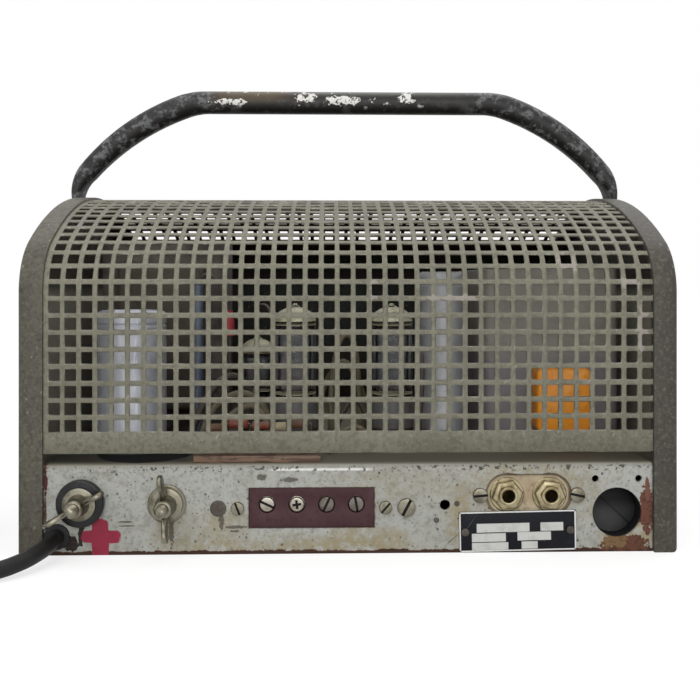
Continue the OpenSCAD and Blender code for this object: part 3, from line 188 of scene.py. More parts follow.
# Cloudy variation between two noise levels
g = GRAIN = Effect("grain", Scale=50.0, Low=0.4, High=0.6)
cloud = g.noise(g.put["Vector"], g.put["Scale"], 5.0, 0.62)
g.feed(g.out, g.span(cloud, g.put["Low"], g.put["High"]))

# A stain with a ragged edge round a centre
g = STAIN = Effect("stain", Centre=(0, 0, 0), Size=(0.01, 0.01, 0.01), Ragged=0.6, Scale=200.0, Square=0.0, Soft=0.05)
away = g.vector("SUBTRACT", g.put["Vector"], g.put["Centre"])[0]
away = g.vector("ABSOLUTE", g.vector("DIVIDE", away, g.put["Size"])[0])[0]
part = g.add("SeparateXYZ", {0: away})
longest = g.calc("MAXIMUM", g.calc("MAXIMUM", part[0], part[1]), part[2])
reach = g.blend(g.put["Square"], g.vector("LENGTH", away)["Value"], longest)
cloud = g.noise(g.put["Vector"], g.put["Scale"], 4.0, 0.6)
reach = g.calc("ADD", reach, g.calc("MULTIPLY", g.calc("SUBTRACT", cloud, 0.5), g.put["Ragged"]))
g.feed(g.out, g.span(reach, g.calc("ADD", 1.0, g.put["Soft"]), g.calc("SUBTRACT", 1.0, g.put["Soft"])))

# Small round specks, each cell with its own size
g = SPECKS = Effect("specks", Scale=300.0, Size=0.2, Share=0.5)
cells = g.add("TexVoronoi", {"Vector": g.put["Vector"], "Scale": g.put["Scale"]})
pick = g.add("SeparateColor", {0: cells["Color"]})
near = g.span(cells["Distance"], g.calc("MULTIPLY", pick[1], g.put["Size"]), 0.0)
g.feed(g.out, g.calc("MULTIPLY", near, g.calc("LESS_THAN", pick[0], g.put["Share"])))

# Thin scratches that run along one direction
g = SCRATCHES = Effect("scratches", Turn=(0, 0, 0), Scale=400.0, Level=0.68)
inputs = {"Vector": g.put["Vector"], "Rotation": g.put["Turn"], "Scale": (1.0, 1.0, 12.0)}
cloud = g.noise(g.add("Mapping", inputs, vector_type="TEXTURE")[0], g.put["Scale"], 2.0)
g.feed(g.out, g.span(cloud, g.put["Level"], g.calc("ADD", g.put["Level"], 0.05)))

# Dimples of hammered paint
g = DIMPLES = Effect("dimples", "Height", Scale=600.0)
cells = g.add("TexVoronoi", {"Vector": g.put["Vector"], "Scale": g.put["Scale"]}, feature="SMOOTH_F1")
cloud = g.noise(g.put["Vector"], g.put["Scale"], 3.0)
g.feed(g.out, g.calc("ADD", cells["Distance"], g.calc("MULTIPLY", cloud, 0.4)))

# Dust that settles on faces that look up
g = DUST = Effect("dust", Amount=0.5)
facing = g.add("SeparateXYZ", {0: g.add("NewGeometry")["Normal"]})
cloud = g.noise(g.put["Vector"], 90.0, 4.0)
settled = g.calc("MULTIPLY", g.span(facing[2], 0.2, 0.95), g.span(cloud, 0.3, 0.7))
g.feed(g.out, g.calc("MULTIPLY", settled, g.put["Amount"]))


class Finish(Net):
    """A material in the making, on Object coordinates. Places and sizes are in millimetres."""

    def __init__(self, name, colour, roughness=0.5, metallic=0.0):
        self.material = bpy.data.materials.new(name)
        self.material.use_nodes = True
        super().__init__(self.material.node_tree)
        self.shader = self.tree.nodes["Principled BSDF"].inputs
        self.shader["Metallic"].default_value = metallic
        self.spot = self.add("TexCoord")["Object"]
        self.colour, self.roughness = tone(colour), roughness

    def mask(self, effect, **inputs):
        return self.add("Group", {"Vector": self.spot, **inputs}, node_tree=effect.tree)[0]

    def grain(self, scale, low, high):
        return self.mask(GRAIN, Scale=scale, Low=low, High=high)

    def specks(self, scale, size, share):
        return self.mask(SPECKS, Scale=scale, Size=size, Share=share)

    def scratches(self, turn, scale, level):
        return self.mask(SCRATCHES, Turn=turn, Scale=scale, Level=level)

    def stain(self, centre, size, **how):
        return self.mask(STAIN, Centre=tuple(c * MM for c in centre), Size=tuple(s * MM for s in size), **how)

    def both(self, mask, *others):
        """Where all these masks meet."""
        for other in others:
            mask = self.calc("MULTIPLY", mask, other, clamp=True)
        return mask

    def either(self, a, b):
        return self.calc("MAXIMUM", a, b, clamp=True)

    def axis(self, index, low, high):
        """A mask that rises from low to high along X, Y or Z."""
        return self.span(self.add("SeparateXYZ", {0: self.spot})[index], low * MM, high * MM)

    def band(self, index, rise, fall):
        """A mask that rises and falls again along X, Y or Z."""
        return self.both(self.axis(index, *rise), self.axis(index, *fall))

    def lay(self, mask, colour, roughness=None, share=1.0):
        """Lays a colour, and if given a roughness, over what is there."""
        if share != 1.0:
            mask = self.calc("MULTIPLY", mask, share)
        self.colour = self.mix(mask, self.colour, tone(colour))
        if roughness is not None:
            self.roughness = self.blend(mask, self.roughness, roughness)
        return self

    def cloud(self, scale, low, high, *look, **share):
        """Lays a colour in cloudy patches."""
        return self.lay(self.grain(scale, low, high), *look, **share)

    def bump(self, height, strength, distance):
        inputs = {"Height": height, "Strength": strength, "Distance": distance}
        self.feed(self.shader["Normal"], self.add("Bump", inputs)[0])
        return self

    def pitted(self, scale, strength, distance=0.0002):
        """An uneven surface with small pits."""
        return self.bump(self.grain(scale, 0.2, 0.8), strength, distance)

    def done(self, gloss=0.5, **sockets):
        self.feed(self.shader["Base Color"], self.colour)
        self.feed(self.shader["Roughness"], self.roughness)
        for name, value in {"Specular_IOR_Level": gloss, **sockets}.items():
            self.shader[name.replace("_", " ")].default_value = value
        return self.material


# Finishes of the case


def case_paint(name, base, light, dark):
    """Hammered olive paint with worn light marks and grime."""
    f = Finish(name, base, 0.55)
    f.cloud(28, 0.35, 0.65, light, share=0.5)
    f.cloud(420, 0.42, 0.68, dark, share=0.6)
    f.cloud(9, 0.5, 0.7, dark, share=0.35)
    f.cloud(650, 0.56, 0.66, light, share=0.7)
    f.lay(f.specks(380, 0.34, 0.12), (170, 166, 154), 0.4, 0.8)
    f.lay(f.scratches((0.5, 0.2, 0.3), 420, 0.71), (160, 156, 144), 0.4, 0.7)
    return f.bump(f.mask(DIMPLES, Scale=620), 0.3, 0.0003)


f = case_paint("cover_hammered_paint", (115, 113, 97), (134, 131, 114), (86, 83, 70))
for centre, size in (
        ((147, -112, 112), (3, 20, 12)), ((141, -112, 135), (4, 20, 4)), ((110, -108, 146), (5, 20, 5)),
        ((52, -115, 128), (12, 20, 2)), ((12, -115, 133), (2, 20, 8))):
    f.lay(f.stain(centre, size, Ragged=2.4, Scale=420, Soft=0.2), (168, 158, 152), 0.4, 0.55)
# Painted shade: the shoulders and crown are laid darker towards the top
f.lay(f.axis(2, 142, 182), (80, 78, 66), share=0.5)
f.lay(f.mask(DUST, Amount=0.15), (140, 137, 124), 0.75)
COVER_PAINT = f.done(0.35)

f = Finish("cover_cut_edges", (120, 118, 104), 0.5)
f.cloud(240, 0.48, 0.62, (168, 165, 152), 0.4, 0.8)
f.cloud(60, 0.45, 0.6, (62, 60, 50), 0.6, 0.8)
CUT_EDGE = f.done(0.35)

COVER_INSIDE = case_paint("cover_dark_inside", (40, 39, 34), (52, 50, 44), (28, 27, 24)).done(0.2)

f = case_paint("cheek_hammered_paint", (80, 77, 67), (96, 93, 80), (54, 52, 44))
# Painted shade: the right cheek is laid darker in patches, most at its outer side
f.lay(f.both(f.axis(0, 130, 172), f.grain(40, 0.1, 0.5)), (56, 52, 48), share=0.9)
f.lay(f.both(f.axis(2, 30, 2), f.grain(120, 0.45, 0.65)), (62, 52, 44), 0.7, 0.6)
f.cloud(480, 0.5, 0.64, (106, 102, 90), share=0.45)
f.cloud(300, 0.52, 0.66, (40, 38, 33), share=0.45)
f.lay(f.specks(300, 0.4, 0.1), (150, 146, 134), 0.4, 0.7)
# Painted light: the inside of each cheek's pocket is laid in a pale tone up to the shoulders
inside = f.both(f.band(1, (-111.6, -110.6), (111.6, 110.6)), f.band(0, (-164, -163.4), (164, 163.4)))
f.lay(f.both(inside, f.axis(2, 136, 126)), (168, 164, 150), 0.6)
CHEEK_PAINT = f.done(0.3)


def panel_paint():
    f = Finish("panel_pale_paint", (174, 175, 169), 0.55)
    front = f.axis(1, -112.4, -112.8)

    def mark(x, z, width, height, depth=10, **how):
        return f.stain((x, PANEL_FACE, z), (width, depth, height), **how)

    f.cloud(22, 0.4, 0.7, (160, 160, 152), share=0.6)
    f.cloud(240, 0.46, 0.7, (136, 135, 126), share=0.6)
    f.cloud(620, 0.5, 0.66, (120, 118, 108), share=0.5)
    # Yellowed and dirty patches
    for *place, share in (
            (6, 6, 22, 7, 0.7), (-30, 3, 55, 6, 0.7), (89, 29, 36, 17, 0.65), (141, 8, 14, 11, 0.8),
            (55, 16, 7, 14, 0.8), (-88, 10, 10, 14, 0.55), (-62, 14, 12, 8, 0.6), (20, 34, 30, 8, 0.4)):
        patch = mark(*place, Ragged=1.4, Scale=110, Soft=0.5)
        f.lay(f.both(patch, f.grain(260, 0.3, 0.6)), (150, 138, 106), 0.65, share)
    # The bend along the top: painted shade, chips, and a bright line that is a painted highlight along the bend
    f.lay(f.axis(2, 42.3, 43.6), (138, 136, 126), share=0.7)
    # Painted highlight: a bright line along the bend
    wear_and_highlight = f.both(f.band(2, (41.2, 41.9), (43.0, 42.4)), f.band(0, (-42, -36), (14, 6)))
    f.lay(wear_and_highlight, (232, 232, 228), 0.35, 0.9)
    chips = f.both(f.band(2, (40.6, 41.6), (44.4, 43.4)), f.grain(360, 0.55, 0.6))
    f.lay(chips, (50, 42, 36), 0.8, 0.85)
    # The deck on top is laid darker; left of the middle it gets painted shade, and in front of the silver can a
    # near-black painted shadow
    deck = f.axis(2, 44.2, 44.9)
    f.lay(deck, (120, 116, 101), 0.8)
    f.lay(f.both(deck, f.axis(0, -72, -88), f.axis(1, -112, -104)), (60, 58, 53), 0.85, 0.85)
    f.lay(f.both(deck, f.stain((-108, -83, 45), (25, 27, 20), Ragged=0.12, Scale=90)), (14, 12, 13), 0.9)
    # Dark specks, short scratches and knocks
    f.lay(f.both(front, f.specks(520, 0.44, 0.2)), (50, 44, 38), 0.7)
    f.lay(f.both(front, f.specks(230, 0.3, 0.36)), (40, 35, 31), 0.7)
    f.lay(f.both(front, f.scratches((0, 0.9, 0), 700, 0.73)), (92, 84, 72), 0.7, 0.8)
    f.lay(f.both(front, f.scratches((0, -0.7, 0), 620, 0.74)), (66, 60, 52), 0.7, 0.8)
    for place in (
            (-57.5, 13.5, 5.5, 0.8), (-64.5, 16.5, 1.2, 4.5), (-58, 11.5, 2, 0.6), (-30.5, 37, 4.5, 1.3),
            (-44.5, 38.5, 2.5, 1.6), (-89.5, 13, 1.2, 9.5), (-112, 16.5, 3.5, 0.5), (-111, 14.5, 3.5, 0.4)):
        f.lay(mark(*place, Ragged=2.2, Scale=620), (70, 62, 50), 0.7, 0.8)
    # Rust: ragged lower edge, both ends, round the selector's opening
    low = f.calc("ADD", f.axis(2, 3.4, 0.4), f.calc("MULTIPLY", f.grain(260, 0.3, 0.7), 0.5))
    f.lay(f.both(front, f.span(low, 0.66, 0.8)), (104, 74, 50), 0.8)
    f.lay(f.both(front, f.span(low, 0.78, 0.9)), (60, 40, 32), 0.85)
    for *place, colour, ragged in (
            (149.7, 21, 4.4, 10.5, (104, 66, 54), 2.6), (140, 4.2, 13, 4.0, (96, 62, 46), 2.4),
            (133.5, 5.5, 6, 3.4, (120, 96, 66), 2.4), (150, 31, 1.2, 6, (116, 78, 64), 1.6),
            (-151.8, 37, 1.0, 7, (86, 48, 44), 2.4), (-151.8, 21, 0.7, 7, (98, 70, 54), 2.4),
            (-138.5, 5.5, 3.2, 4.2, (34, 31, 29), 2.6), (-134.5, 9.5, 1.4, 4.5, (40, 37, 34), 2.6)):
        rust = mark(*place, Ragged=ragged, Scale=330)
        f.lay(rust, colour, 0.8)
        f.lay(f.both(rust, f.grain(520, 0.5, 0.6)), (62, 44, 36), 0.85, 0.6)
    # Chipped rims of the board's window and of the jacks' window
    for *place, square in (
            (-19.5, 23, 31.8, 10.3, 10, 1.0), (JACKS[0], JACK_Z, 11.2, 11.2, 20, 0.0),
            (JACKS[1], JACK_Z, 11.2, 11.2, 20, 0.0), (JACKS_MIDDLE, JACK_Z, 11.2, 10.6, 20, 1.0)):
        f.lay(mark(*place, Ragged=0.08, Scale=520, Square=square, Soft=0.02), (74, 56, 42), 0.8, 0.85)
    # Hand-painted cross beside the insulated terminal
    arms = f.either(mark(-124.7, 8.2, 4.4, 9.2, 4, Ragged=0.55, Scale=130, Square=0.7),
                    mark(-124.7, 9.2, 10.2, 3.4, 4, Ragged=0.5, Scale=130, Square=0.6))
    cross = f.both(front, arms)
    f.lay(cross, (144, 38, 62), 0.5)
    f.lay(f.both(cross, f.grain(150, 0.5, 0.7)), (120, 30, 50), share=0.6)
    return f.pitted(700, 0.08).done(0.3)


PANEL_PAINT = panel_paint()

# Black paint of the handle, worn off along the top and on the arcs; the worn spots on top are partly painted
# highlight, and a painted highlight runs along the top
f = Finish("handle_black_paint", (24, 22, 20), 0.45)
arc = f.either(f.axis(0, -62, -80), f.axis(0, 66, 86))
f.lay(f.both(arc, f.grain(130, 0.46, 0.58)), (104, 105, 106), 0.45, 0.85)
f.lay(f.both(arc, f.grain(330, 0.49, 0.55)), (24, 23, 23), 0.5, 0.9)
f.lay(f.both(f.band(0, (-92, -70), (-28, -50)), f.axis(2, 245, 252)), (92, 76, 52), 0.5, 0.75)
bar = f.band(0, (-96, -62), (84, 40))
f.lay(f.both(bar, f.grain(120, 0.52, 0.64)), (76, 73, 69), 0.4, 0.6)
# Worn spots on top, painted near white: partly wear, partly painted highlight
f.lay(f.both(bar, f.axis(2, 242, 247), f.grain(190, 0.62, 0.66)), (214, 212, 206), 0.35, 0.85)
for centre, size in (
        ((-25, 0, 250.5), (7, 20, 3)), ((-2, 0, 248.5), (12, 20, 3)),
        ((-71, 0, 247.5), (10, 20, 1.8)), ((37, 0, 250.2), (4, 20, 4))):
    f.lay(f.both(f.stain(centre, size, Ragged=2.4, Scale=330), f.grain(420, 0.4, 0.5)), (228, 226, 220), 0.3)
# Painted highlight along the top of the bar
f.lay(f.both(f.band(0, (-60, -10), (90, 40)), f.axis(2, 250, 254.5)), (120, 118, 112), 0.35, 0.35)
HANDLE_PAINT = f.bump(f.grain(260, 0.3, 0.7), 0.25, 0.0003).done(0.3)

# Metals


def plating(name, base, stained, roughness, dirt=0.5):
    f = Finish(name, base, roughness, 1.0)
    f.cloud(140, 0.42, 0.66, stained, roughness + 0.18, 0.8)
    f.cloud(420, 0.55, 0.7, (96, 84, 62), roughness + 0.25, dirt)
    return f.pitted(600, 0.12).done()


NICKEL = plating("aged_nickel", (126, 122, 108), (78, 73, 59), 0.3)
BRIGHT_SCREW = plating("bright_screw", (158, 152, 141), (106, 99, 88), 0.3, 0.4)
DULL_SCREW = plating("dull_screw", (104, 98, 92), (76, 70, 64), 0.45, 0.7)
BRASS_NUT = plating("yellowed_nickel", (154, 144, 116), (106, 95, 68), 0.34, 0.6)
ZINC = plating("dull_zinc", (126, 124, 116), (92, 88, 80), 0.45)
DARK_RIVET = plating("dark_rivet", (84, 78, 74), (60, 54, 50), 0.55, 0.4)

UPRIGHT = (0, 0, 0)
f = Finish("drawn_aluminium", (206, 209, 216), 0.46, 0.4)
f.cloud(60, 0.45, 0.7, (166, 168, 178), 0.54, 0.75)
f.lay(f.scratches(UPRIGHT, 380, 0.64), (236, 236, 240), 0.25, 0.6)
# Painted shade: the can is laid dark near its foot
f.lay(f.axis(2, 54, 48), (58, 56, 56), 0.6)
ALUMINIUM = f.bump(f.scratches(UPRIGHT, 700, 0.5), 0.05, 0.0002).done()

# Mouldings, boards and rubber


def moulding(name, base, light, roughness):
    f = Finish(name, base, roughness)
    f.cloud(90, 0.45, 0.7, light, roughness + 0.15, 0.7)
    f.lay(f.specks(420, 0.3, 0.05), (120, 112, 100), 0.7)
    return f.pitted(800, 0.08)


BAKELITE = moulding("black_bakelite", (18, 17, 19), (34, 33, 36), 0.22).done(0.3)
PLUG_BLACK = moulding("plug_bakelite", (24, 22, 21), (40, 37, 35), 0.3).done(0.3)
# Near black: the selector's body, and painted shade in the screws' slots
DARK_INSIDE = moulding("selector_dark", (12, 12, 13), (20, 20, 21), 0.7).done(0.3)
SOCKET_BROWN = moulding("socket_moulding", (60, 52, 46), (84, 74, 66), 0.5).done(0.3)

f = moulding("selector_moulding", (40, 40, 41), (50, 50, 51), 0.55)
# Painted light on the drum's lower side, and a near-black painted shadow over its upper part
f.lay(f.stain((130, -105, 12.5), (9, 20, 6.5), Ragged=0.5, Scale=120, Soft=0.6), (72, 72, 73), 0.6, 0.7)
f.lay(f.axis(2, 18.5, 25), (9, 9, 10), 0.7, 0.92)
SELECTOR_GREY = f.done(0.2)

f = moulding("knob_moulding", (34, 28, 25), (50, 42, 37), 0.28)
for x in KNOBS:
    f.lay(f.stain((x, 139.5, 32.5), (0.7, 0.7, 5.8), Ragged=0.02, Square=1.0), (216, 212, 202), 0.5)
KNOB_BROWN = f.done(0.3)

f = Finish("maroon_board", (66, 41, 45), 0.55)
f.cloud(50, 0.4, 0.7, (80, 56, 58), 0.6, 0.7)
f.cloud(480, 0.5, 0.7, (48, 30, 33), share=0.6)
MAROON_BOARD = f.pitted(600, 0.1).done(0.2)

f = Finish("tan_board", (184, 170, 142), 0.55)
f.cloud(70, 0.4, 0.65, (158, 138, 108), 0.6, 0.8)
f.cloud(300, 0.55, 0.75, (104, 80, 56), share=0.7)
# The board is laid dark brown outside the outlines round the nuts
kept_tan = f.stain((JACKS_MIDDLE, -113, JACK_Z), (10.5, 20, 9.8), Ragged=0.1, Scale=300, Square=1.0, Soft=0.03)
for x in JACKS:
    kept_tan = f.either(kept_tan, f.stain((x, -113, JACK_Z), (9.8, 20, 9.8), Ragged=0.1, Scale=300, Soft=0.03))
f.lay(f.calc("SUBTRACT", 1.0, kept_tan), (92, 74, 52), 0.7, 0.8)
TAN_BOARD = f.done()

f = Finish("layered_brown_board", (116, 90, 71), 0.55)
f.lay(f.scratches((0, pi / 2, 0), 900, 0.5), (74, 50, 38), 0.6, 0.9)
f.cloud(90, 0.5, 0.7, (142, 118, 96), share=0.6)
STRIP_BOARD = f.done()

f = Finish("lead_rubber", (24, 23, 23), 0.5)
f.cloud(45, 0.4, 0.7, (40, 39, 39), 0.6, 0.7)
f.cloud(260, 0.58, 0.75, (70, 67, 64), 0.7, 0.5)
RUBBER = f.pitted(350, 0.15, 0.0003).done(0.25)

# Type plate
f = Finish("plate_black", (15, 16, 22), 0.5)
f.cloud(80, 0.5, 0.75, (34, 34, 42), 0.55, 0.7)
f.lay(f.scratches((0, 0.6, 0), 500, 0.72), (120, 118, 116), 0.4, 0.6)
PLATE_BLACK = f.done(0.15)
f = Finish("plate_white", (226, 226, 224), 0.45)
PLATE_WHITE = f.cloud(260, 0.5, 0.7, (190, 188, 182), share=0.7).done()
f = Finish("plate_fields", (196, 196, 192), 0.4, 0.2)
f.cloud(200, 0.45, 0.7, (176, 175, 168), 0.5, 0.8)
f.lay(f.scratches((0, 1.3, 0), 420, 0.66), (150, 148, 142), 0.5, 0.6)
PLATE_FIELDS = f.done()

# Parts seen through the grille


def inner_paint(name, base, light, dark, roughness=0.5):
    f = Finish(name, base, roughness)
    f.cloud(30, 0.4, 0.65, light, share=0.7)
    f.cloud(220, 0.5, 0.75, dark, share=0.5)
    f.lay(f.mask(DUST, Amount=0.7), (126, 120, 106), 0.85)
    return f.pitted(500, 0.1)


f = inner_paint("box_paint", (124, 121, 110), (138, 135, 124), (98, 95, 88))
BOX_PAINT = f.lay(f.axis(2, 104, 88), (112, 107, 112), share=0.8).done()
f = inner_paint("core_laminations", (48, 46, 42), (66, 62, 55), (28, 26, 24), 0.6)
CORE_STEEL = f.bump(f.scratches(UPRIGHT, 900, 0.5), 0.4, 0.0004).done()
GREY_CAN = inner_paint("grey_can_paint", (170, 170, 172), (188, 188, 190), (124, 123, 124), 0.44).done(Metallic=0.3)
PAPER = inner_paint("winding_paper", (74, 67, 56), (96, 87, 72), (38, 33, 27), 0.65).done()
ORANGE = inner_paint("orange_case", (255, 150, 10), (255, 168, 34), (206, 104, 12), 0.35).done()
GREY_BASE = inner_paint("valve_base", (104, 104, 102), (124, 124, 122), (70, 70, 70), 0.45).done()
ANODE = inner_paint("valve_anode", (74, 72, 76), (112, 106, 104), (34, 32, 34), 0.4).done()
MICA = inner_paint("valve_mica", (190, 176, 140), (214, 204, 172), (140, 122, 90), 0.4).done()
RED_BODY = inner_paint("red_component", (134, 60, 42), (168, 96, 70), (84, 36, 26), 0.45).done()
BEIGE_BODY = inner_paint("beige_component", (196, 180, 146), (214, 202, 172), (140, 122, 92)).done()
BROWN_BODY = inner_paint("brown_component", (112, 76, 50), (140, 100, 70), (66, 44, 30)).done()
SLEEVE = inner_paint("woven_sleeve", (112, 102, 80), (140, 128, 102), (66, 58, 44), 0.7).done()
DARK_SLEEVE = inner_paint("dark_sleeve", (58, 52, 44), (80, 72, 62), (32, 28, 24), 0.6).done()
BLUE_POST = inner_paint("tag_post", (84, 94, 112), (120, 130, 146), (46, 50, 60), 0.35).done()
RED_SLEEVE = inner_paint("red_sleeve", (160, 38, 46), (178, 62, 70), (110, 20, 28)).done()

f = Finish("valve_getter", (206, 200, 170), 0.3, 0.15)
GETTER = f.cloud(120, 0.45, 0.7, (160, 150, 120), 0.4, 0.7).done()
f = Finish("valve_glass", (0.9, 0.92, 0.92, 1.0), 0.03)
f.cloud(70, 0.4, 0.7, (0.78, 0.82, 0.84, 1.0), 0.1, 0.7)
VALVE_GLASS = f.done(Transmission_Weight=1.0, IOR=1.2)
f = Finish("lamp_lens", (196, 30, 22), 0.12)
LAMP_LENS = f.cloud(300, 0.4, 0.7, (150, 20, 16), share=0.7).done(Coat_Weight=0.6)

# Mesh tools: shapes are drawn in millimetres and shrunk to metres when they are done


def body_of(nodes):
    """The CAD body that carries these nodes."""
    bodies = frame["record"]["behaviour"]["bodies"]
    return next((body for body, held in bodies.items() if nodes and nodes[0] in held), "amplifier")


def finished(name, bm, materials, slot, *nodes, sharp=38.0):
    """Makes the object, lays it on its body and hides the CAD nodes that it stands for."""
    bmesh.ops.scale(bm, vec=(MM, MM, MM), verts=bm.verts)
    mesh = bpy.data.meshes.new(name)
    bm.to_mesh(mesh)
    bm.free()
    for material in materials if isinstance(materials, list) else [materials]:
        mesh.materials.append(material)
    mesh.shade_smooth()
    mesh.set_sharp_from_angle(angle=radians(sharp))
    piece = placed(name, mesh)
    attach(piece, body_of(nodes))
    if nodes:
        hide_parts(*nodes)
    return piece


def verts_in(geom):
    return [g for g in geom if isinstance(g, bmesh.types.BMVert)]


def edges_of(verts):
    return list({e for v in verts for e in v.link_edges})


def faces_of(verts):
    return list({f for v in verts for f in v.link_faces})


def newest(bm, before):
    return [v for v in bm.verts if v not in before]


def painted(verts, index):
    """Gives the faces of these vertices a material."""
    for face in faces_of(verts):
        face.material_index = index


def bevel(bm, geom, offset, segments, affect="EDGES", **more):
    bmesh.ops.bevel(bm, geom=geom, offset=offset, segments=segments, profile=0.5, affect=affect, material=-1, **more)


def thicken(bm, faces, way):
    """Draws faces on along a way."""
    grown = bmesh.ops.extrude_face_region(bm, geom=faces)["geom"]
    bmesh.ops.translate(bm, vec=way, verts=verts_in(grown))


def sink(bm, faces, way):
    """Sets faces deeper, with walls round them. Returns their new vertices."""
    verts = verts_in(bmesh.ops.extrude_face_region(bm, geom=faces)["geom"])
    bmesh.ops.delete(bm, geom=[f for f in faces if f.is_valid], context="FACES_ONLY")
    bmesh.ops.translate(bm, vec=way, verts=verts)
    return verts


def draw_on(bm, edges):
    """Draws a ring of edges on. Returns its new vertices and edges."""
    grown = bmesh.ops.extrude_edge_only(bm, edges=edges)["geom"]
    ring = verts_in(grown)
    return ring, [g for g in grown if isinstance(g, bmesh.types.BMEdge) and all(v in ring for v in g.verts)]


def lathe(bm, outline, place=Matrix(), steps=48, closed=False, paint=0):
    """Spins an outline of (radius, height) about Z and lays it in its place."""
    before = set(bm.verts)
    verts = [bm.verts.new((r, 0, h)) for r, h in outline]
    edges = [bm.edges.new(pair) for pair in zip(verts, verts[1:])]
    if closed:
        edges.append(bm.edges.new((verts[-1], verts[0])))
    bmesh.ops.spin(bm, geom=verts + edges, cent=(0, 0, 0), axis=(0, 0, 1), angle=2 * pi, steps=steps,
                   use_merge=True)
    bmesh.ops.remove_doubles(bm, verts=newest(bm, before), dist=1e-5)
    made = newest(bm, before)
    bmesh.ops.recalc_face_normals(bm, faces=faces_of(made))
    bmesh.ops.transform(bm, matrix=place, verts=made)
    painted(made, paint)


def domed(radius, base, rise, degrees):
    """Outline of a dome for the lathe, at these angles."""
    angles = [radians(a) for a in degrees]
    return [(radius * cos(a), base + rise * sin(a)) for a in angles]


def block(bm, low, high, edge=0.0, place=Matrix(), paint=0, segments=2):
    """A box between two corners, its edges rounded."""
    before = set(bm.verts)
    size = Vector(high) - Vector(low)
    middle = (Vector(high) + Vector(low)) / 2
    bmesh.ops.create_cube(bm, size=1.0, matrix=Matrix.Translation(middle) @ Matrix.Diagonal((*size, 1)))
    if edge:
        bevel(bm, edges_of(newest(bm, before)), edge, segments)
    made = newest(bm, before)
    bmesh.ops.transform(bm, matrix=place, verts=made)
    painted(made, paint)


def rod(bm, points, radius, sides=10, paint=0):
    """A round wire through points: a ring that is drawn on from point to point."""
    before = set(bm.verts)
    points = [Vector(p) for p in points]
    last = None
    for k, point in enumerate(points):
        heading = (points[min(k + 1, len(points) - 1)] - points[max(k - 1, 0)]).normalized()
        turn = at(*point) @ heading.to_track_quat("Z", "Y").to_matrix().to_4x4()
        if last is None:
            edges = edges_of(bmesh.ops.create_circle(
                bm, cap_ends=True, segments=sides, radius=radius, matrix=turn)["verts"])
        else:
            ring, edges = draw_on(bm, edges)
            bmesh.ops.transform(bm, matrix=turn @ last.inverted(), verts=ring)
        last = turn
    bmesh.ops.contextual_create(bm, geom=edges)
    made = newest(bm, before)
    bmesh.ops.recalc_face_normals(bm, faces=faces_of(made))
    painted(made, paint)


def dressed(node, material, slot, edge=0.25, segments=2):
    """A copy of a CAD node with its triangles joined and its sharp edges rounded."""
    bm = bmesh.new()
    bm.from_mesh(frame["nodes"][node].data)
    bmesh.ops.scale(bm, vec=(1 / MM, 1 / MM, 1 / MM), verts=bm.verts)
    bmesh.ops.remove_doubles(bm, verts=bm.verts, dist=2e-3)
    bmesh.ops.dissolve_limit(bm, angle_limit=radians(1.0), verts=bm.verts, edges=bm.edges)
    edges = [e for e in bm.edges if len(e.link_faces) == 2 and e.calc_face_angle() > radians(40)]
    if edges:
        bevel(bm, edges, edge, segments, offset_type="OFFSET", clamp_overlap=True, loop_slide=True)
    finished(f"{node}_dressed", bm, material, slot, node)


def coat(node, material):
    """A CAD node that keeps its shape gets its finish."""
    mesh = frame["nodes"][node].data
    mesh.materials.clear()
    mesh.materials.append(material)


# Mains lead with its coil, tie and plug
STRAIGHT_END = 8
COIL_R, COIL_STEP, COIL_TURNS = 57.0, 8.8, 2.4375
COIL_ALL = 2 * COIL_TURNS + 0.5
COIL_X, COIL_Y, COIL_Z = -248, -101, 5.4
COIL_START = -pi / 2
COIL_END = COIL_START - 2 * pi * COIL_ALL
PLUG_HEADING = Vector((sin(COIL_END), -cos(COIL_END), 0))


def lead_points():
    """From the panel over the floor, then round the coil: inwards below, outwards above."""
    route = [(-146, -115.5, 9.5), (-146, -118, 9.5), (-146, -121.5, 9.3), (-146.5, -126, 8.8), (-147.5, -131, 8.1),
             (-149.5, -136, 7.3), (-152, -141, 6.5), (-155.5, -145.5, 5.7), (-159.5, -149.5, 5), (-164.5, -153, 4.5),
             (-170, -155.5, 4.2), (-176, -157.2, 4.1), (-183, -158, 4.1), (-195, -158, 4.2), (-207, -158, 4.6),
             (-219, -158, 5.1), (-231, -158, 5.4), (-240, -158, 5.4)]
    count = round(COIL_ALL * 24)
    for k in range(count + 1):
        t = COIL_ALL * k / count
        f = t - COIL_TURNS
        if f < 0:
            inwards = t
        elif f > 0.5:
            inwards = COIL_ALL - t
        else:
            inwards = COIL_TURNS + f - 2 * f * f
        r = COIL_R - COIL_STEP * inwards
        g = max(0.0, min(1.0, 2 * f))
        a = COIL_START - 2 * pi * t
        route.append((COIL_X + r * cos(a), COIL_Y + r * sin(a), COIL_Z + COIL_STEP * g * g * (3 - 2 * g)))
    return route + [tuple(Vector(route[-1]) + STRAIGHT_END * PLUG_HEADING)]


points = [Vector(p) * MM for p in lead_points()]
curve = bpy.data.curves.new("mains_lead_curve", "CURVE")
curve.dimensions = "3D"
curve.resolution_u = 3
curve.bevel_depth = 0.004
curve.bevel_resolution = 5
curve.use_fill_caps = True
spline = curve.splines.new("BEZIER")
spline.bezier_points.add(len(points) - 1)
for knot, point in zip(spline.bezier_points, points):
    knot.co = point
    knot.handle_left_type = knot.handle_right_type = "AUTO"
curve.materials.append(RUBBER)
lead = placed("mains_lead_cord", curve)
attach(lead, "amplifier")
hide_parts("mains_lead", "mains_lead_coil")


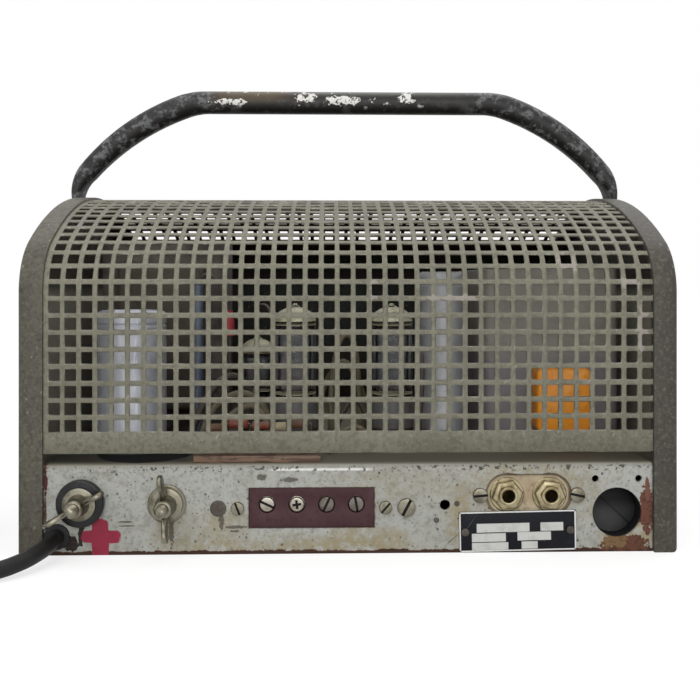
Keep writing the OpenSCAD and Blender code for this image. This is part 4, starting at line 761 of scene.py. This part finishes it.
def plug():
    """Moulded plug body with a ribbed grip, and its two metal pins."""
    bm = bmesh.new()
    lathe(bm, [(0, 0), (4.1, 0), (4.6, 2), (5.4, 9), (6.2, 15), (8.4, 20), (11.2, 25.5), (12.4, 29), (13, 32),
               (13, 34.5), (12.5, 35), (12.5, 36.4), (13, 36.9), (13, 39.4), (12.5, 39.9), (12.5, 41.3), (13, 41.8),
               (13, 52.6), (12.4, 53.6), (11.6, 54), (0, 54)], steps=40)
    for side in (-8, 8):
        lathe(bm, [(0, 53), (3.4, 53), (3.4, 54.6), (2.4, 54.8), (2.4, 70.6), (2.0, 72.2), (1.0, 72.9), (0, 73)],
              at(0, side, 0), 20, paint=1)
    heading = atan2(PLUG_HEADING.y, PLUG_HEADING.x)
    place = at(*(points[-1] / MM)) @ Matrix.Rotation(heading, 4, "Z") @ TO_RIGHT
    bmesh.ops.transform(bm, matrix=place, verts=bm.verts)
    return finished("mains_plug_moulded", bm, [PLUG_BLACK, NICKEL], "plug_moulding", "mains_plug")


def tie():
    """A flat strap round the coil's turns, with a buckle."""
    bm = bmesh.new()
    block(bm, (-310.0, -107, 0.65), (-276.8, -95, 19.2))
    bmesh.ops.delete(bm, geom=[f for f in bm.faces if abs(f.normal.y) > 0.5], context="FACES_ONLY")
    bevel(bm, [e for e in bm.edges if abs((e.verts[0].co - e.verts[1].co).y) > 1], 3.5, 5)
    bmesh.ops.recalc_face_normals(bm, faces=bm.faces)
    bmesh.ops.solidify(bm, geom=bm.faces[:], thickness=0.9)
    block(bm, (-300, -108.2, 18.2), (-290, -93.8, 20.0), 0.6)
    return finished("lead_tie_strap", bm, RUBBER, "lead_rubber", "lead_tie")


plug_piece = plug()
tie_piece = tie()
dressed("lead_grommet", RUBBER, "lead_rubber", 0.4, 3)

# Cover: one sheet with its rows of square holes, bent round the case
HOLE_W, HOLE_H, HOLE_CORNER = 5.5, 5.8, 0.55
PITCH_X, PITCH_S = 8.03, 8.448
COLUMNS, ROWS, ROWS_WITH_PLAIN = 38, 35, 49
MIDDLE_X, FIRST_ROW = 1.3, 3.45
BACK_BOTTOM = 43.6


def on_case(s):
    """Place in Y and Z of a point of the cover, s along its outline from the front band."""
    if s > RUN_HALF:
        y, z = on_case(2 * RUN_HALF - s)
        return -y, z
    if s < RUN_FLAT:
        return -HALF, BAND_TOP + s
    if s < RUN_FLAT + RUN_SHOULDER:
        a = (s - RUN_FLAT) / SHOULDER_R
        return -(HALF - SHOULDER_R) - SHOULDER_R * cos(a), SHOULDER_H + SHOULDER_R * sin(a)
    a = SHOULDER_TURN + (s - RUN_FLAT - RUN_SHOULDER) / CROWN_R
    return -CROWN_R * cos(a), CROWN_C + CROWN_R * sin(a)


def cover_sheet():
    """A flat sheet is cut along all the holes' edges, loses the holes, and is then laid round the case."""
    columns = [(c - (COLUMNS - 1) / 2) * PITCH_X + MIDDLE_X for c in range(COLUMNS)]
    rows = [FIRST_ROW + j * PITCH_S for j in range(ROWS)]
    plain = [FIRST_ROW + j * PITCH_S for j in range(ROWS, ROWS_WITH_PLAIN)]
    low, high = COVER_BOTTOM - BAND_TOP, 2 * RUN_HALF + BAND_TOP - BACK_BOTTOM
    bm = bmesh.new()
    bmesh.ops.create_grid(bm, x_segments=1, y_segments=1, size=0.5,
                          matrix=at(0, (low + high) / 2, 0) @ Matrix.Diagonal((COVER_W, high - low, 1, 1)))
    cuts = [((x + side * HOLE_W / 2, 0, 0), (1, 0, 0)) for x in columns for side in (-1, 1)]
    cuts += [((0, s + side * HOLE_H / 2, 0), (0, 1, 0)) for s in rows for side in (-1, 0, 1)]
    cuts += [((0, s, 0), (0, 1, 0)) for s in plain]
    for point, normal in cuts:
        bmesh.ops.bisect_plane(bm, geom=bm.verts[:] + bm.edges[:] + bm.faces[:], dist=1e-4, plane_co=point,
                               plane_no=normal)
    corner_x = {round(x + side * HOLE_W / 2, 2) for x in columns for side in (-1, 1)}
    corner_s = {round(s + side * HOLE_H / 2, 2) for s in rows for side in (-1, 1)}
    corners = [v for v in bm.verts if round(v.co.x, 2) in corner_x and round(v.co.y, 2) in corner_s]
    bevel(bm, corners, HOLE_CORNER, 1, "VERTICES")

    def in_hole(face):
        middle = face.calc_center_median()
        return (any(abs(middle.x - x) < HOLE_W / 2 - 0.4 for x in columns)
                and any(abs(middle.y - s) < HOLE_H / 2 - 0.4 for s in rows))

    bmesh.ops.delete(bm, geom=[f for f in bm.faces if in_hole(f)], context="FACES")
    for v in bm.verts:
        v.co.y, v.co.z = on_case(v.co.y)
    bm.normal_update()
    if sum(f.normal.z for f in bm.faces) < 0:
        bmesh.ops.reverse_faces(bm, faces=bm.faces)
    piece = finished("cover_perforated_sheet", bm, [COVER_PAINT, CUT_EDGE, COVER_INSIDE], "case_hammertone",
                     "front_grille", "top_grille", "back_sheet", sharp=60)
    wall = piece.modifiers.new("sheet_thickness", "SOLIDIFY")
    wall.thickness = 0.0012
    wall.offset = -1
    wall.material_offset = 2
    wall.material_offset_rim = 1
    wear_and_highlight = piece.modifiers.new("worn_edges", "BEVEL")
    wear_and_highlight.width = 0.0003
    wear_and_highlight.segments = 1
    wear_and_highlight.limit_method = "ANGLE"
    wear_and_highlight.angle_limit = radians(60)
    wear_and_highlight.material = 1


cover_sheet()


def cheek(name, side):
    """An end cheek: the case's outline drawn by turning a point round its arcs, then thickened and hollowed."""
    proud, rim_w, pocket_depth = 1.4, 4.4, 9.5
    bm = bmesh.new()
    first = bm.verts.new((0, -HALF - proud, 0))
    tip = bm.verts.new((0, -HALF - proud, SHOULDER_H))
    bm.edges.new((first, tip))
    for centre, angle, steps in (((0, SHOULDER_R - HALF, SHOULDER_H), SHOULDER_TURN, 12),
                                 ((0, 0, CROWN_C), pi - 2 * SHOULDER_TURN, 28),
                                 ((0, HALF - SHOULDER_R, SHOULDER_H), SHOULDER_TURN, 12)):
        drawn = bmesh.ops.spin(bm, geom=[tip], cent=centre, axis=(1, 0, 0), angle=-angle, steps=steps)
        tip = verts_in(drawn["geom_last"])[0]
    last = bm.verts.new((0, HALF + proud, 0))
    bm.edges.new((tip, last))
    bm.edges.new((last, first))
    thicken(bm, bmesh.ops.contextual_create(bm, geom=bm.edges[:])["faces"], (CHEEK_W, 0, 0))
    bmesh.ops.recalc_face_normals(bm, faces=bm.faces)
    inner = [f for f in bm.faces if f.normal.x < -0.9]
    bmesh.ops.inset_region(bm, faces=inner, thickness=rim_w, use_even_offset=True)
    sink(bm, [f for f in bm.faces if f.normal.x < -0.9 and len(f.verts) > 6], (pocket_depth, 0, 0))
    bevel(bm, [e for e in bm.edges if all(v.co.x > CHEEK_W - 0.01 for v in e.verts)], 3.0, 5)
    rim = [e for e in bm.edges if all(abs(v.co.x) < 0.01 for v in e.verts) and e.calc_face_angle(0) > 0.8]
    bevel(bm, rim, 0.5, 2)
    bmesh.ops.translate(bm, vec=(BODY_W / 2 - CHEEK_W, 0, 0), verts=bm.verts)
    if side < 0:
        bmesh.ops.scale(bm, vec=(-1, 1, 1), verts=bm.verts)
        bmesh.ops.reverse_faces(bm, faces=bm.faces)
    finished(f"{name}_pressed", bm, CHEEK_PAINT, "case_hammertone", name)


cheek("left_cheek", -1)
cheek("right_cheek", 1)


def handle():
    """The tube handle: a ring drawn along the bar, round its bends and flattened towards its ends."""
    bends = [(radians(a), r, steps) for a, r, steps in ((20, 45.0, 6), (30, 140.0, 14), (40, 25.0, 14))]
    ear_t, ear_w, arc_flat = 4.0, 19.0, 0.3
    above_crown, ear_below = 1.3, 34.8
    bar_r, arc_more, full_slope = 7.0, 0.5, 0.35
    end_x = BODY_W / 2 + ear_t / 2
    reach, drop, start = 0.0, 0.0, 0.0
    for turn, r, _ in bends:
        reach += r * (sin(start + turn) - sin(start))
        drop += r * (cos(start) - cos(start + turn))
        start += turn
    x, z, start = end_x - reach, CROWN_TOP + above_crown + drop, 0.0
    # Each station: place in X and Z, slope, how flat it is, and its width
    stations = [(0.0, z, 0.0, 0.0, 1.0), (x * 0.5, z, 0.0, 0.0, 1.0)]
    for k, (turn, r, steps) in enumerate(bends):
        for i in range(0 if k == 0 else 1, steps + 1):
            share = i / steps
            a = start + turn * i / steps
            flat = (0.0, arc_flat * share ** 2, arc_flat + (1 - arc_flat) * i / steps)[k]
            stations.append((x + r * (sin(a) - sin(start)), z - r * (cos(start) - cos(a)),
                             a, flat, 1.0))
        x, z = stations[-1][:2]
        start += turn
    down = z - (CROWN_TOP - ear_below)
    for share, wide in ((0.4, 1.0), (0.75, 1.0), (0.86, 0.98), (0.92, 0.9), (0.96, 0.78), (0.985, 0.6), (1.0, 0.35)):
        stations.append((end_x, z - share * down, pi / 2, 1.0, wide))
    stations = [(-x, z, -slope, *rest) for x, z, slope, *rest in stations[:0:-1]] + stations
    bm = bmesh.new()
    ring = bmesh.ops.create_circle(bm, cap_ends=True, segments=32, radius=1.0)["verts"]
    edges = edges_of(ring)
    order = [atan2(v.co.y, v.co.x) for v in ring]
    for k, (x, z, slope, flat, wide) in enumerate(stations):
        if k:
            fresh, edges = draw_on(bm, edges)
            ring = [next(e.other_vert(v) for e in v.link_edges if e.other_vert(v) in fresh) for v in ring]
        full = bar_r + arc_more * min(1.0, abs(slope) / full_slope)
        hx = full + flat * (ear_t / 2 - full)
        hy = (full + flat * (ear_w / 2 - full)) * wide
        r = min(hx, hy)
        for v, a in zip(ring, order):
            across = copysign(hx - r, cos(a)) + r * cos(a)
            along = copysign(hy - r, sin(a)) + r * sin(a)
            v.co = (x + across * sin(slope), along, z + across * cos(slope))
    bmesh.ops.contextual_create(bm, geom=edges)
    bmesh.ops.recalc_face_normals(bm, faces=bm.faces)
    finished("handle_tube", bm, HANDLE_PAINT, "handle_paint", "handle", sharp=50)


handle()
dressed("handle_bolts", ZINC, "dull_metal", 0.7, 3)
dressed("cheek_screws", ZINC, "dull_metal", 0.5, 3)

# Terminal panel
coat("chassis", PANEL_PAINT)
coat("bottom_plate", ZINC)
dressed("battery_insulator", BAKELITE, "black_moulding", 1.0, 4)


def stud(side, place, seat, collar):
    """A threaded stud with a rounded tip, its thread cut as fine grooves."""
    length, pitch = 17.5, 1.0
    foot = at(place[0], seat, place[1]) @ TO_FRONT
    bm = bmesh.new()
    outline = [(0, -14), (3, -14)]
    h = 0.0
    while h < length - 1.6:
        outline += [(3.0, h), (2.65, h + 0.5)]
        h += pitch
    outline += [(2.9, length - 1.4), (2.2, length - 0.4), (1.2, length), (0, length)]
    lathe(bm, outline, foot, 32)
    if collar:
        lathe(bm, [(3.0, 0), (3.0, -2), (9.5, -2), (9.5, -0.5), (9.0, 0)], foot, closed=True)
    finished(f"{side}_stud_threaded", bm, NICKEL, "bright_metal", f"{side}_stud")


stud("plus", PLUS, -118.0, False)
stud("minus", MINUS, -116.0, True)
for side in ("plus", "minus"):
    dressed(f"{side}_washer", NICKEL, "bright_metal", 0.35, 3)


def wing_nut(side, place, base, lean):
    """A cast wing nut: turned hub with a collar, and two rounded wings."""
    tip_x, tip_z, tip_r, tip_start, tip_turn, wing_t = 12.8, 9, 4, -1.35, 3.25, 2.4
    bm = bmesh.new()
    lathe(bm, [(3.05, 0), (5.25, 0), (5.4, 0.8), (5.2, 1.8), (4.9, 5), (4.6, 8.6), (4.2, 9.6), (3.6, 10), (3.05, 10)],
          steps=40, closed=True)
    for turn in (0, pi):
        before = set(bm.verts)
        start = bm.verts.new((tip_x + tip_r * cos(tip_start), 0, tip_z + tip_r * sin(tip_start)))
        drawn = bmesh.ops.spin(bm, geom=[start], cent=(tip_x, 0, tip_z), axis=(0, 1, 0), angle=-tip_turn, steps=12)
        end = verts_in(drawn["geom_last"])[0]
        upper, lower = bm.verts.new((4.2, 0, 8.4)), bm.verts.new((4.2, 0, 1.8))
        for pair in ((end, upper), (upper, lower), (lower, start)):
            bm.edges.new(pair)
        wing = bmesh.ops.contextual_create(bm, geom=edges_of(newest(bm, before)))["faces"]
        thicken(bm, wing, (0, wing_t, 0))
        made = newest(bm, before)
        bmesh.ops.translate(bm, vec=(0, -wing_t / 2, 0), verts=made)
        bmesh.ops.recalc_face_normals(bm, faces=faces_of(made))
        bevel(bm, [e for e in edges_of(made) if e.calc_face_angle(0) > 0.9], 0.85, 3)
        bmesh.ops.rotate(bm, cent=(0, 0, 0), matrix=Matrix.Rotation(turn, 3, "Z"), verts=newest(bm, before))
    seat = at(place[0], base, place[1]) @ TO_FRONT @ Matrix.Rotation(lean, 4, "Z")
    bmesh.ops.transform(bm, matrix=seat, verts=bm.verts)
    nut = f"{side}_wing_nut"
    finished(f"{nut}_cast", bm, NICKEL, "bright_metal", nut, sharp=45)


wing_nut("plus", PLUS, -119.5, radians(30))
wing_nut("minus", MINUS, -117.5, radians(95))

dressed("terminal_board", MAROON_BOARD, "brown_board", 0.3, 2)


def screw(bm, x, z, face, radius, height, turn, cross=False, dome=0.5, shank=(1.5, 6, 20)):
    """A screw whose head sits on the plane y = face, with a slot or a cross cut into it."""
    before = set(bm.verts)
    thicken(bm, faces_of(bmesh.ops.create_circle(bm, cap_ends=True, segments=40, radius=radius)["verts"]),
            (0, 0, height))
    made = newest(bm, before)
    bmesh.ops.recalc_face_normals(bm, faces=faces_of(made))
    bevel(bm, [e for e in edges_of(made) if all(v.co.z > height - 1e-4 for v in e.verts)], dome, 4)
    width = 0.17 * radius
    reach = 0.62 * radius if cross else 3 * radius
    for normal in ((1, 0, 0), (0, 1, 0)) if cross else ((0, 1, 0),):
        for side in (-1, 1):
            for cut_at, way in ((side * width, normal), (side * reach, (normal[1], normal[0], 0))):
                tops = [f for f in faces_of(newest(bm, before)) if f.normal.z > 0.3]
                geom = list({g for f in tops for g in (*f.verts, *f.edges, f)})
                bmesh.ops.bisect_plane(bm, geom=geom, dist=1e-5, plane_co=Vector(way) * cut_at, plane_no=way)

    def in_slot(f):
        c = f.calc_center_median()
        along = abs(c.y) < width and abs(c.x) < reach
        return f.normal.z > 0.3 and (along or (cross and abs(c.x) < width and abs(c.y) < reach))

    sunk = sink(bm, [f for f in faces_of(newest(bm, before)) if in_slot(f)], (0, 0, -0.6 * height))
    made = newest(bm, before)
    seat = at(x, face, z) @ TO_FRONT
    bmesh.ops.transform(bm, matrix=seat @ Matrix.Rotation(radians(turn), 4, "Z"), verts=made)
    painted(made, 0)
    # The slot's faces take the second material, near black: painted shade in the slot
    painted(sunk, 1)
    thick, length, sides = shank
    lathe(bm, [(0, 0), (thick, 0), (thick, -length), (0, -length)], seat, sides)


for k, (x, turn) in enumerate(zip(BOARD_SCREWS, (-25, 8, 65, 100)), 1):
    bm = bmesh.new()
    cross = k == 2
    metal, dome = (BRIGHT_SCREW, 0.7) if k < 3 else (DULL_SCREW, 0.4)
    screw(bm, x, BOARD_Z, -111.8, 3.6 if cross else 3.75, 2.0 if cross else 1.6, turn, cross, dome, (2, 7.6, 24))
    name = f"terminal_screw_{k}"
    finished(f"{name}_cut", bm, [metal, DARK_INSIDE], "bright_metal", name)
    dressed(f"clamp_ring_{k}", metal, "bright_metal", 0.2)

bm = bmesh.new()
for x, radius, turn in ((-56.5, 3.25, -68), (17.5, 3.25, 48), (28, 4.5, -118)):
    screw(bm, x, 23, PANEL_FACE, radius, 1.8, turn)
finished("panel_screws_cut", bm, [NICKEL, DARK_INSIDE], "bright_metal", "panel_screws")
dressed("panel_rivets", DARK_RIVET, "dull_metal", 0.3, 3)

coat("jack_plate", TAN_BOARD)
for name in ("left_jack", "right_jack"):
    dressed(name, BRASS_NUT, "bright_metal", 0.3, 3)
bm = bmesh.new()
for x, turn in zip(JACKS, (10, -8)):
    seat = at(x, -112.5, JACK_Z) @ TO_FRONT
    before = set(bm.verts)
    lathe(bm, [(4.85, 0), (8.0, 0), (8.0, 2.6), (7.2, 3.4), (5.6, 3.5), (4.85, 3.5)], steps=6, closed=True)
    bevel(bm, [e for e in edges_of(newest(bm, before)) if e.calc_face_angle(0) > 0.6], 0.35, 2)
    bmesh.ops.transform(bm, matrix=seat @ Matrix.Rotation(radians(turn), 4, "Z"), verts=newest(bm, before))
    lathe(bm, [(4.9, -0.2), (8.7, -0.2), (8.7, 0.4), (8.3, 0.7), (4.9, 0.7)], seat, closed=True)
finished("jack_nuts_chamfered", bm, BRASS_NUT, "bright_metal", "jack_nuts", sharp=30)
bm = bmesh.new()
for x, turn in ((65.2, 5), (114.2, -12)):
    screw(bm, x, JACK_Z, PANEL_FACE, 3.75, 1.8, turn, dome=0.6)
finished("jack_screws_cut", bm, [NICKEL, DARK_INSIDE], "bright_metal", "jack_screws")


def type_plate():
    """The plate with its pale border and blank fields, a little proud of the black."""
    half_w, half_h = 29.5, 10
    bm = bmesh.new()
    block(bm, (-half_w, -0.8, -half_h), (half_w, 0, half_h), 0.2)
    for left, low, right, high in ((-29.4, 9.3, 29.4, 9.95), (-29.4, -9.95, 29.4, -9.3),
                                   (-29.4, -9.9, -28.75, 9.9), (28.75, -9.9, 29.4, 9.9)):
        block(bm, (left, -0.9, low), (right, -0.75, high), paint=1)
    # Fields, from the plate's upper left corner
    for left, right, top, low in ((8.8, 35.4, 6.0, 10.4), (41.0, 52.5, 6.0, 10.2), (6.3, 23.4, 10.9, 15.1),
                                  (29.3, 46.2, 10.6, 14.8), (6.3, 24.6, 15.5, 19.2), (31.3, 39.4, 15.3, 19.0)):
        block(bm, (left - half_w, -0.87, half_h - low), (right - half_w, -0.75, half_h - top), paint=2)
    place = at(PLATE[0], PANEL_FACE, PLATE[1]) @ Matrix.Rotation(radians(-1), 4, "Y")
    bmesh.ops.transform(bm, matrix=place, verts=bm.verts)
    finished("type_plate_blank", bm, [PLATE_BLACK, PLATE_WHITE, PLATE_FIELDS], "type_plate", "type_plate")


type_plate()
coat("selector_body", DARK_INSIDE)
dressed("selector_drum", SELECTOR_GREY, "selector_grey", 0.3)

# Parts on the deck


def drawn_can(name, x, y, radius, height, material):
    rim = radius + 1.5
    bm = bmesh.new()
    lathe(bm, [(0, 0), (rim, 0), (rim, 2.2), (rim - 0.7, 3), (radius + 0.4, 3), (radius, 4), (radius, height - 9),
               (radius - 0.5, height - 8.4), (radius - 0.5, height - 7.6), (radius, height - 7), (radius, height - 3),
               (radius - 0.9, height - 1.4), (radius - 2.2, height - 0.6), (radius - 3, height - 1.6),
               (radius * 0.5, height - 1.6), (0, height - 1.2)], at(x, y, DECK), 64)
    finished(f"{name}_drawn", bm, material, name, name)


drawn_can("silver_can", -118.8, -70, 18.75, 76, ALUMINIUM)
drawn_can("grey_can", 54.4, -45, 13.8, 97.4, GREY_CAN)


def valve(name, x, y, radius, height):
    """A glass bulb on a grey base, with its electrodes, spacers and getter inside."""
    socket_h = 9
    bm = bmesh.new()
    spot = at(x, y, DECK + socket_h)
    top = height - socket_h
    rise = 0.7 * radius
    dome = top - rise - 2
    lathe(bm, [(0, 0.4), (radius - 1.5, 0.4), (radius, 2)] + domed(radius, dome, rise, range(0, 80, 8))
          + [(1.8, top - 1.2), (1.0, top - 0.3), (0, top)], spot)
    base = 0.2 * height
    lathe(bm, [(0, 0.2), (radius + 0.2, 0.2), (radius + 0.4, 1.2), (radius + 0.4, base - 2), (radius + 0.1, base - 1),
               (radius + 0.1, base)], spot, paint=1)
    low, high = base + 3, dome - 2
    for h in (low, high):
        lathe(bm, [(0, h), (radius - 1.6, h), (radius - 1.6, h + 0.5), (0, h + 0.5)], spot, 32, paint=3)
    block(bm, (-0.62 * radius, -0.36 * radius, low + 2), (0.62 * radius, 0.36 * radius, high - 2), 1.6, spot, 2, 3)
    for side in (-1, 1):
        screen, wire = side * 0.74 * radius, (side * 0.45 * radius, 0.45 * radius)
        block(bm, (screen - 0.8, -0.2 * radius, low + 3), (screen + 0.8, 0.2 * radius, high - 3), 0.4, spot, 2)
        rod(bm, [spot @ Vector((*wire, base)), spot @ Vector((*wire, high + 4))], 0.5, 8, 2)
    lathe(bm, domed(radius - 0.5, dome, rise - 0.5, range(2, 84, 7)), spot, 40, paint=4)
    lathe(bm, [(0, high + 5), (3.4, high + 5), (3.8, high + 6), (3.4, high + 6.6), (0, high + 6.2)], spot, 24, paint=2)
    finished(f"{name}_bulb", bm, [VALVE_GLASS, GREY_BASE, ANODE, MICA, GETTER], "valve_glass", name)


valve("left_output_valve", -30.1, -55, 12, 79)
valve("right_output_valve", 24.6, -55, 12, 79)
valve("first_valve", -55, -5, 10, 58)
dressed("valve_sockets", SOCKET_BROWN, "black_moulding", 0.4)
dressed("transformer_box", BOX_PAINT, "box_paint", 0.8, 2)
coat("transformer_core", CORE_STEEL)
dressed("orange_capacitor", ORANGE, "orange_case", 1.4, 3)
dressed("output_core", CORE_STEEL, "core_steel", 0.5)
dressed("output_winding", PAPER, "winding", 3.0, 4)
dressed("board_strip", STRIP_BOARD, "tan_board", 0.3)


def strip_components():
    """Small wired components that stand along the board strip's tags."""
    y, tags = -100, 48.2
    bm = bmesh.new()
    for x, z, length, radius, paint in ((-69, 61, 9, 2.3, 2), (-57.5, 63, 10, 2.6, 0), (-46, 62, 9, 2.2, 0),
                                        (-36.5, 61.5, 7, 2.4, 1), (-26, 63, 10, 2.6, 2)):
        end = length / 2
        lathe(bm, [(0, -end), (radius * 0.8, -end), (radius, -end + 0.8), (radius * 0.92, -length / 4),
                   (radius * 0.92, length / 4), (radius, end - 0.8), (radius * 0.8, end), (0, end)],
              at(x, y, z) @ TO_RIGHT, 24, paint=paint)
        for side in (-1, 1):
            out = x + side * (end + 1.2)
            rod(bm, [(x + side * end - side, y, z), (x + side * (end + 0.8), y, z), (out, y, z - 1.2), (out, y, tags)],
                0.4, 8, 3)
    finished("strip_components", bm, [RED_BODY, BEIGE_BODY, BROWN_BODY, ZINC], "tan_board")


strip_components()


def through(points, steps=6):
    """Places along a smooth line through points."""
    points = [Vector(p) for p in points]
    line = []
    for k in range(len(points) - 1):
        a, b, c, d = points[max(k - 1, 0)], points[k], points[k + 1], points[min(k + 2, len(points) - 1)]
        for i in range(steps):
            t = i / steps
            line.append(0.5 * (2 * b + (c - a) * t + (2 * a - 5 * b + 4 * c - d) * t ** 2
                               + (3 * b - a - 3 * c + d) * t ** 3))
    return line + [points[-1]]


def wiring():
    """Sleeved wires that run over the deck from the strip to the valves, and a tag post with a red sleeve."""
    bm = bmesh.new()
    for radius, paint, *points in (
            (1.6, 0, (-10, -34, 45), (-9, -33, 80), (-3, -31, 103), (5, -31, 96), (8, -33, 45)),
            (1.8, 0, (-17, -28, 45), (-14, -26, 72), (-2, -24, 88), (9, -26, 70), (12, -28, 45)),
            (1.9, 0, (-76, -88, 45), (-77, -86, 58), (-70, -82, 71), (-56, -80, 76), (-45, -78, 66), (-42, -76, 45)),
            (1.7, 0, (-70, -90, 45), (-66, -86, 62), (-52, -84, 70), (-44, -86, 60), (-46, -88, 45)),
            (2.1, 1, (-86, -86, 45), (-82, -82, 62), (-72, -76, 80), (-62, -70, 84), (-54, -66, 72), (-52, -64, 45)),
            (1.6, 1, (-8, -84, 45), (-6, -80, 60), (2, -76, 72), (9, -74, 64), (11, -72, 45)),
            (1.5, 0, (-12, -90, 45), (-4, -88, 56), (6, -86, 58), (14, -86, 45)),
            (1.5, 1, (36, -84, 45), (38, -80, 62), (40, -74, 84), (40, -67, 96), (40, -64, 84), (40, -60, 45)),
            (2.8, 2, (-84, -60, 45), (-84, -60, 90), (-84, -60, 136)),
            (0.9, 1, (-84, -60, 134), (-80, -61, 140), (-73, -62, 136), (-67, -62, 118), (-66, -62, 100),
             (-68, -60, 45)),
            (3.0, 3, (-67.4, -62, 120), (-66.6, -62, 113), (-66.2, -62, 106)),
            (1.0, 1, (-55, -5, 102.4), (-56, -11, 112), (-52, -26, 122), (-44, -36, 112), (-42, -38, 45))):
        rod(bm, through(points), radius, 10, paint)
    finished("deck_wiring", bm, [SLEEVE, DARK_SLEEVE, BLUE_POST, RED_SLEEVE], "lead_rubber")


wiring()

# Controls at the back
for name in ("volume_knob", "tone_knob", "mixer_knob"):
    dressed(name, KNOB_BROWN, "knob_moulding", 0.5, 3)
dressed("potentiometers", ZINC, "dull_metal", 0.4)
dressed("switch_body", ZINC, "dull_metal", 0.4)
dressed("switch_lever", NICKEL, "bright_metal", 0.3)
bm = bmesh.new()
seat = at(LAMP[0], BACK_FACE, LAMP[1]) @ TO_BACK
lathe(bm, [(0, -16), (5, -16), (5, 0), (6.5, 0), (6.5, 1.2), (6.0, 2.0), (5.6, 2.0), (5.4, 1.4), (0, 1.4)], seat)
lathe(bm, [(5.4, 1.3), (5.4, 2.2)] + domed(5.5, 2.0, 5.4, range(10, 90, 10)) + [(0, 7.4)], seat, paint=1)
finished("pilot_lamp_glazed", bm, [NICKEL, LAMP_LENS], "lamp_lens", "pilot_lamp")

# Floor, world and lamps


def ray_share(net):
    """1 for rays that show the background: from the camera, in reflections and through glass."""
    path = net.add("LightPath")
    seen = net.calc("MAXIMUM", path["Is Camera Ray"], path["Is Glossy Ray"])
    return net.calc("MAXIMUM", seen, path["Is Transmission Ray"])


bm = bmesh.new()
bmesh.ops.create_grid(bm, x_segments=1, y_segments=1, size=6.0)
mesh = bpy.data.meshes.new("floor")
bm.to_mesh(mesh)
bm.free()
f = Finish("pale_floor", (0.36, 0.36, 0.36, 1), 1.0)
f.feed(f.shader["Emission Strength"], f.calc("MULTIPLY", ray_share(f), 0.7))
mesh.materials.append(f.done(0.0, Emission_Color=(1, 1, 1, 1)))
floor = placed("floor", mesh)
floor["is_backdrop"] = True

world = scene.world = bpy.data.worlds.new("studio")
world.use_nodes = True
net = Net(world.node_tree)
background = world.node_tree.nodes["Background"].inputs
background["Color"].default_value = (1, 1, 1, 1)
net.feed(background["Strength"], net.blend(ray_share(net), 0.4, 1.0))


def lamp(name, place, size, power):
    """A soft lamp that looks at the case's middle."""
    data = bpy.data.lights.new(name, "AREA")
    data.shape = "RECTANGLE"
    data.size, data.size_y = size
    data.energy = power
    thing = placed(name, data)
    thing.location = place
    thing.rotation_euler = (Vector((0, 0, 0.1)) - Vector(place)).to_track_quat("-Z", "Y").to_euler()


lamp("front", (0.2, -2.4, 0.7), (2.0, 1.4), 25)
lamp("key", (-0.8, -1.4, 1.5), (1.4, 1.2), 11)
sun = bpy.data.lights.new("overhead", "SUN")
sun.energy = 1.6
sun.angle = radians(70)
placed("overhead", sun).rotation_euler = (radians(-14), radians(8), 0)

size = {"cad": [list(corner) for corner in cad_box], "visual": [list(corner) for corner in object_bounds()]}
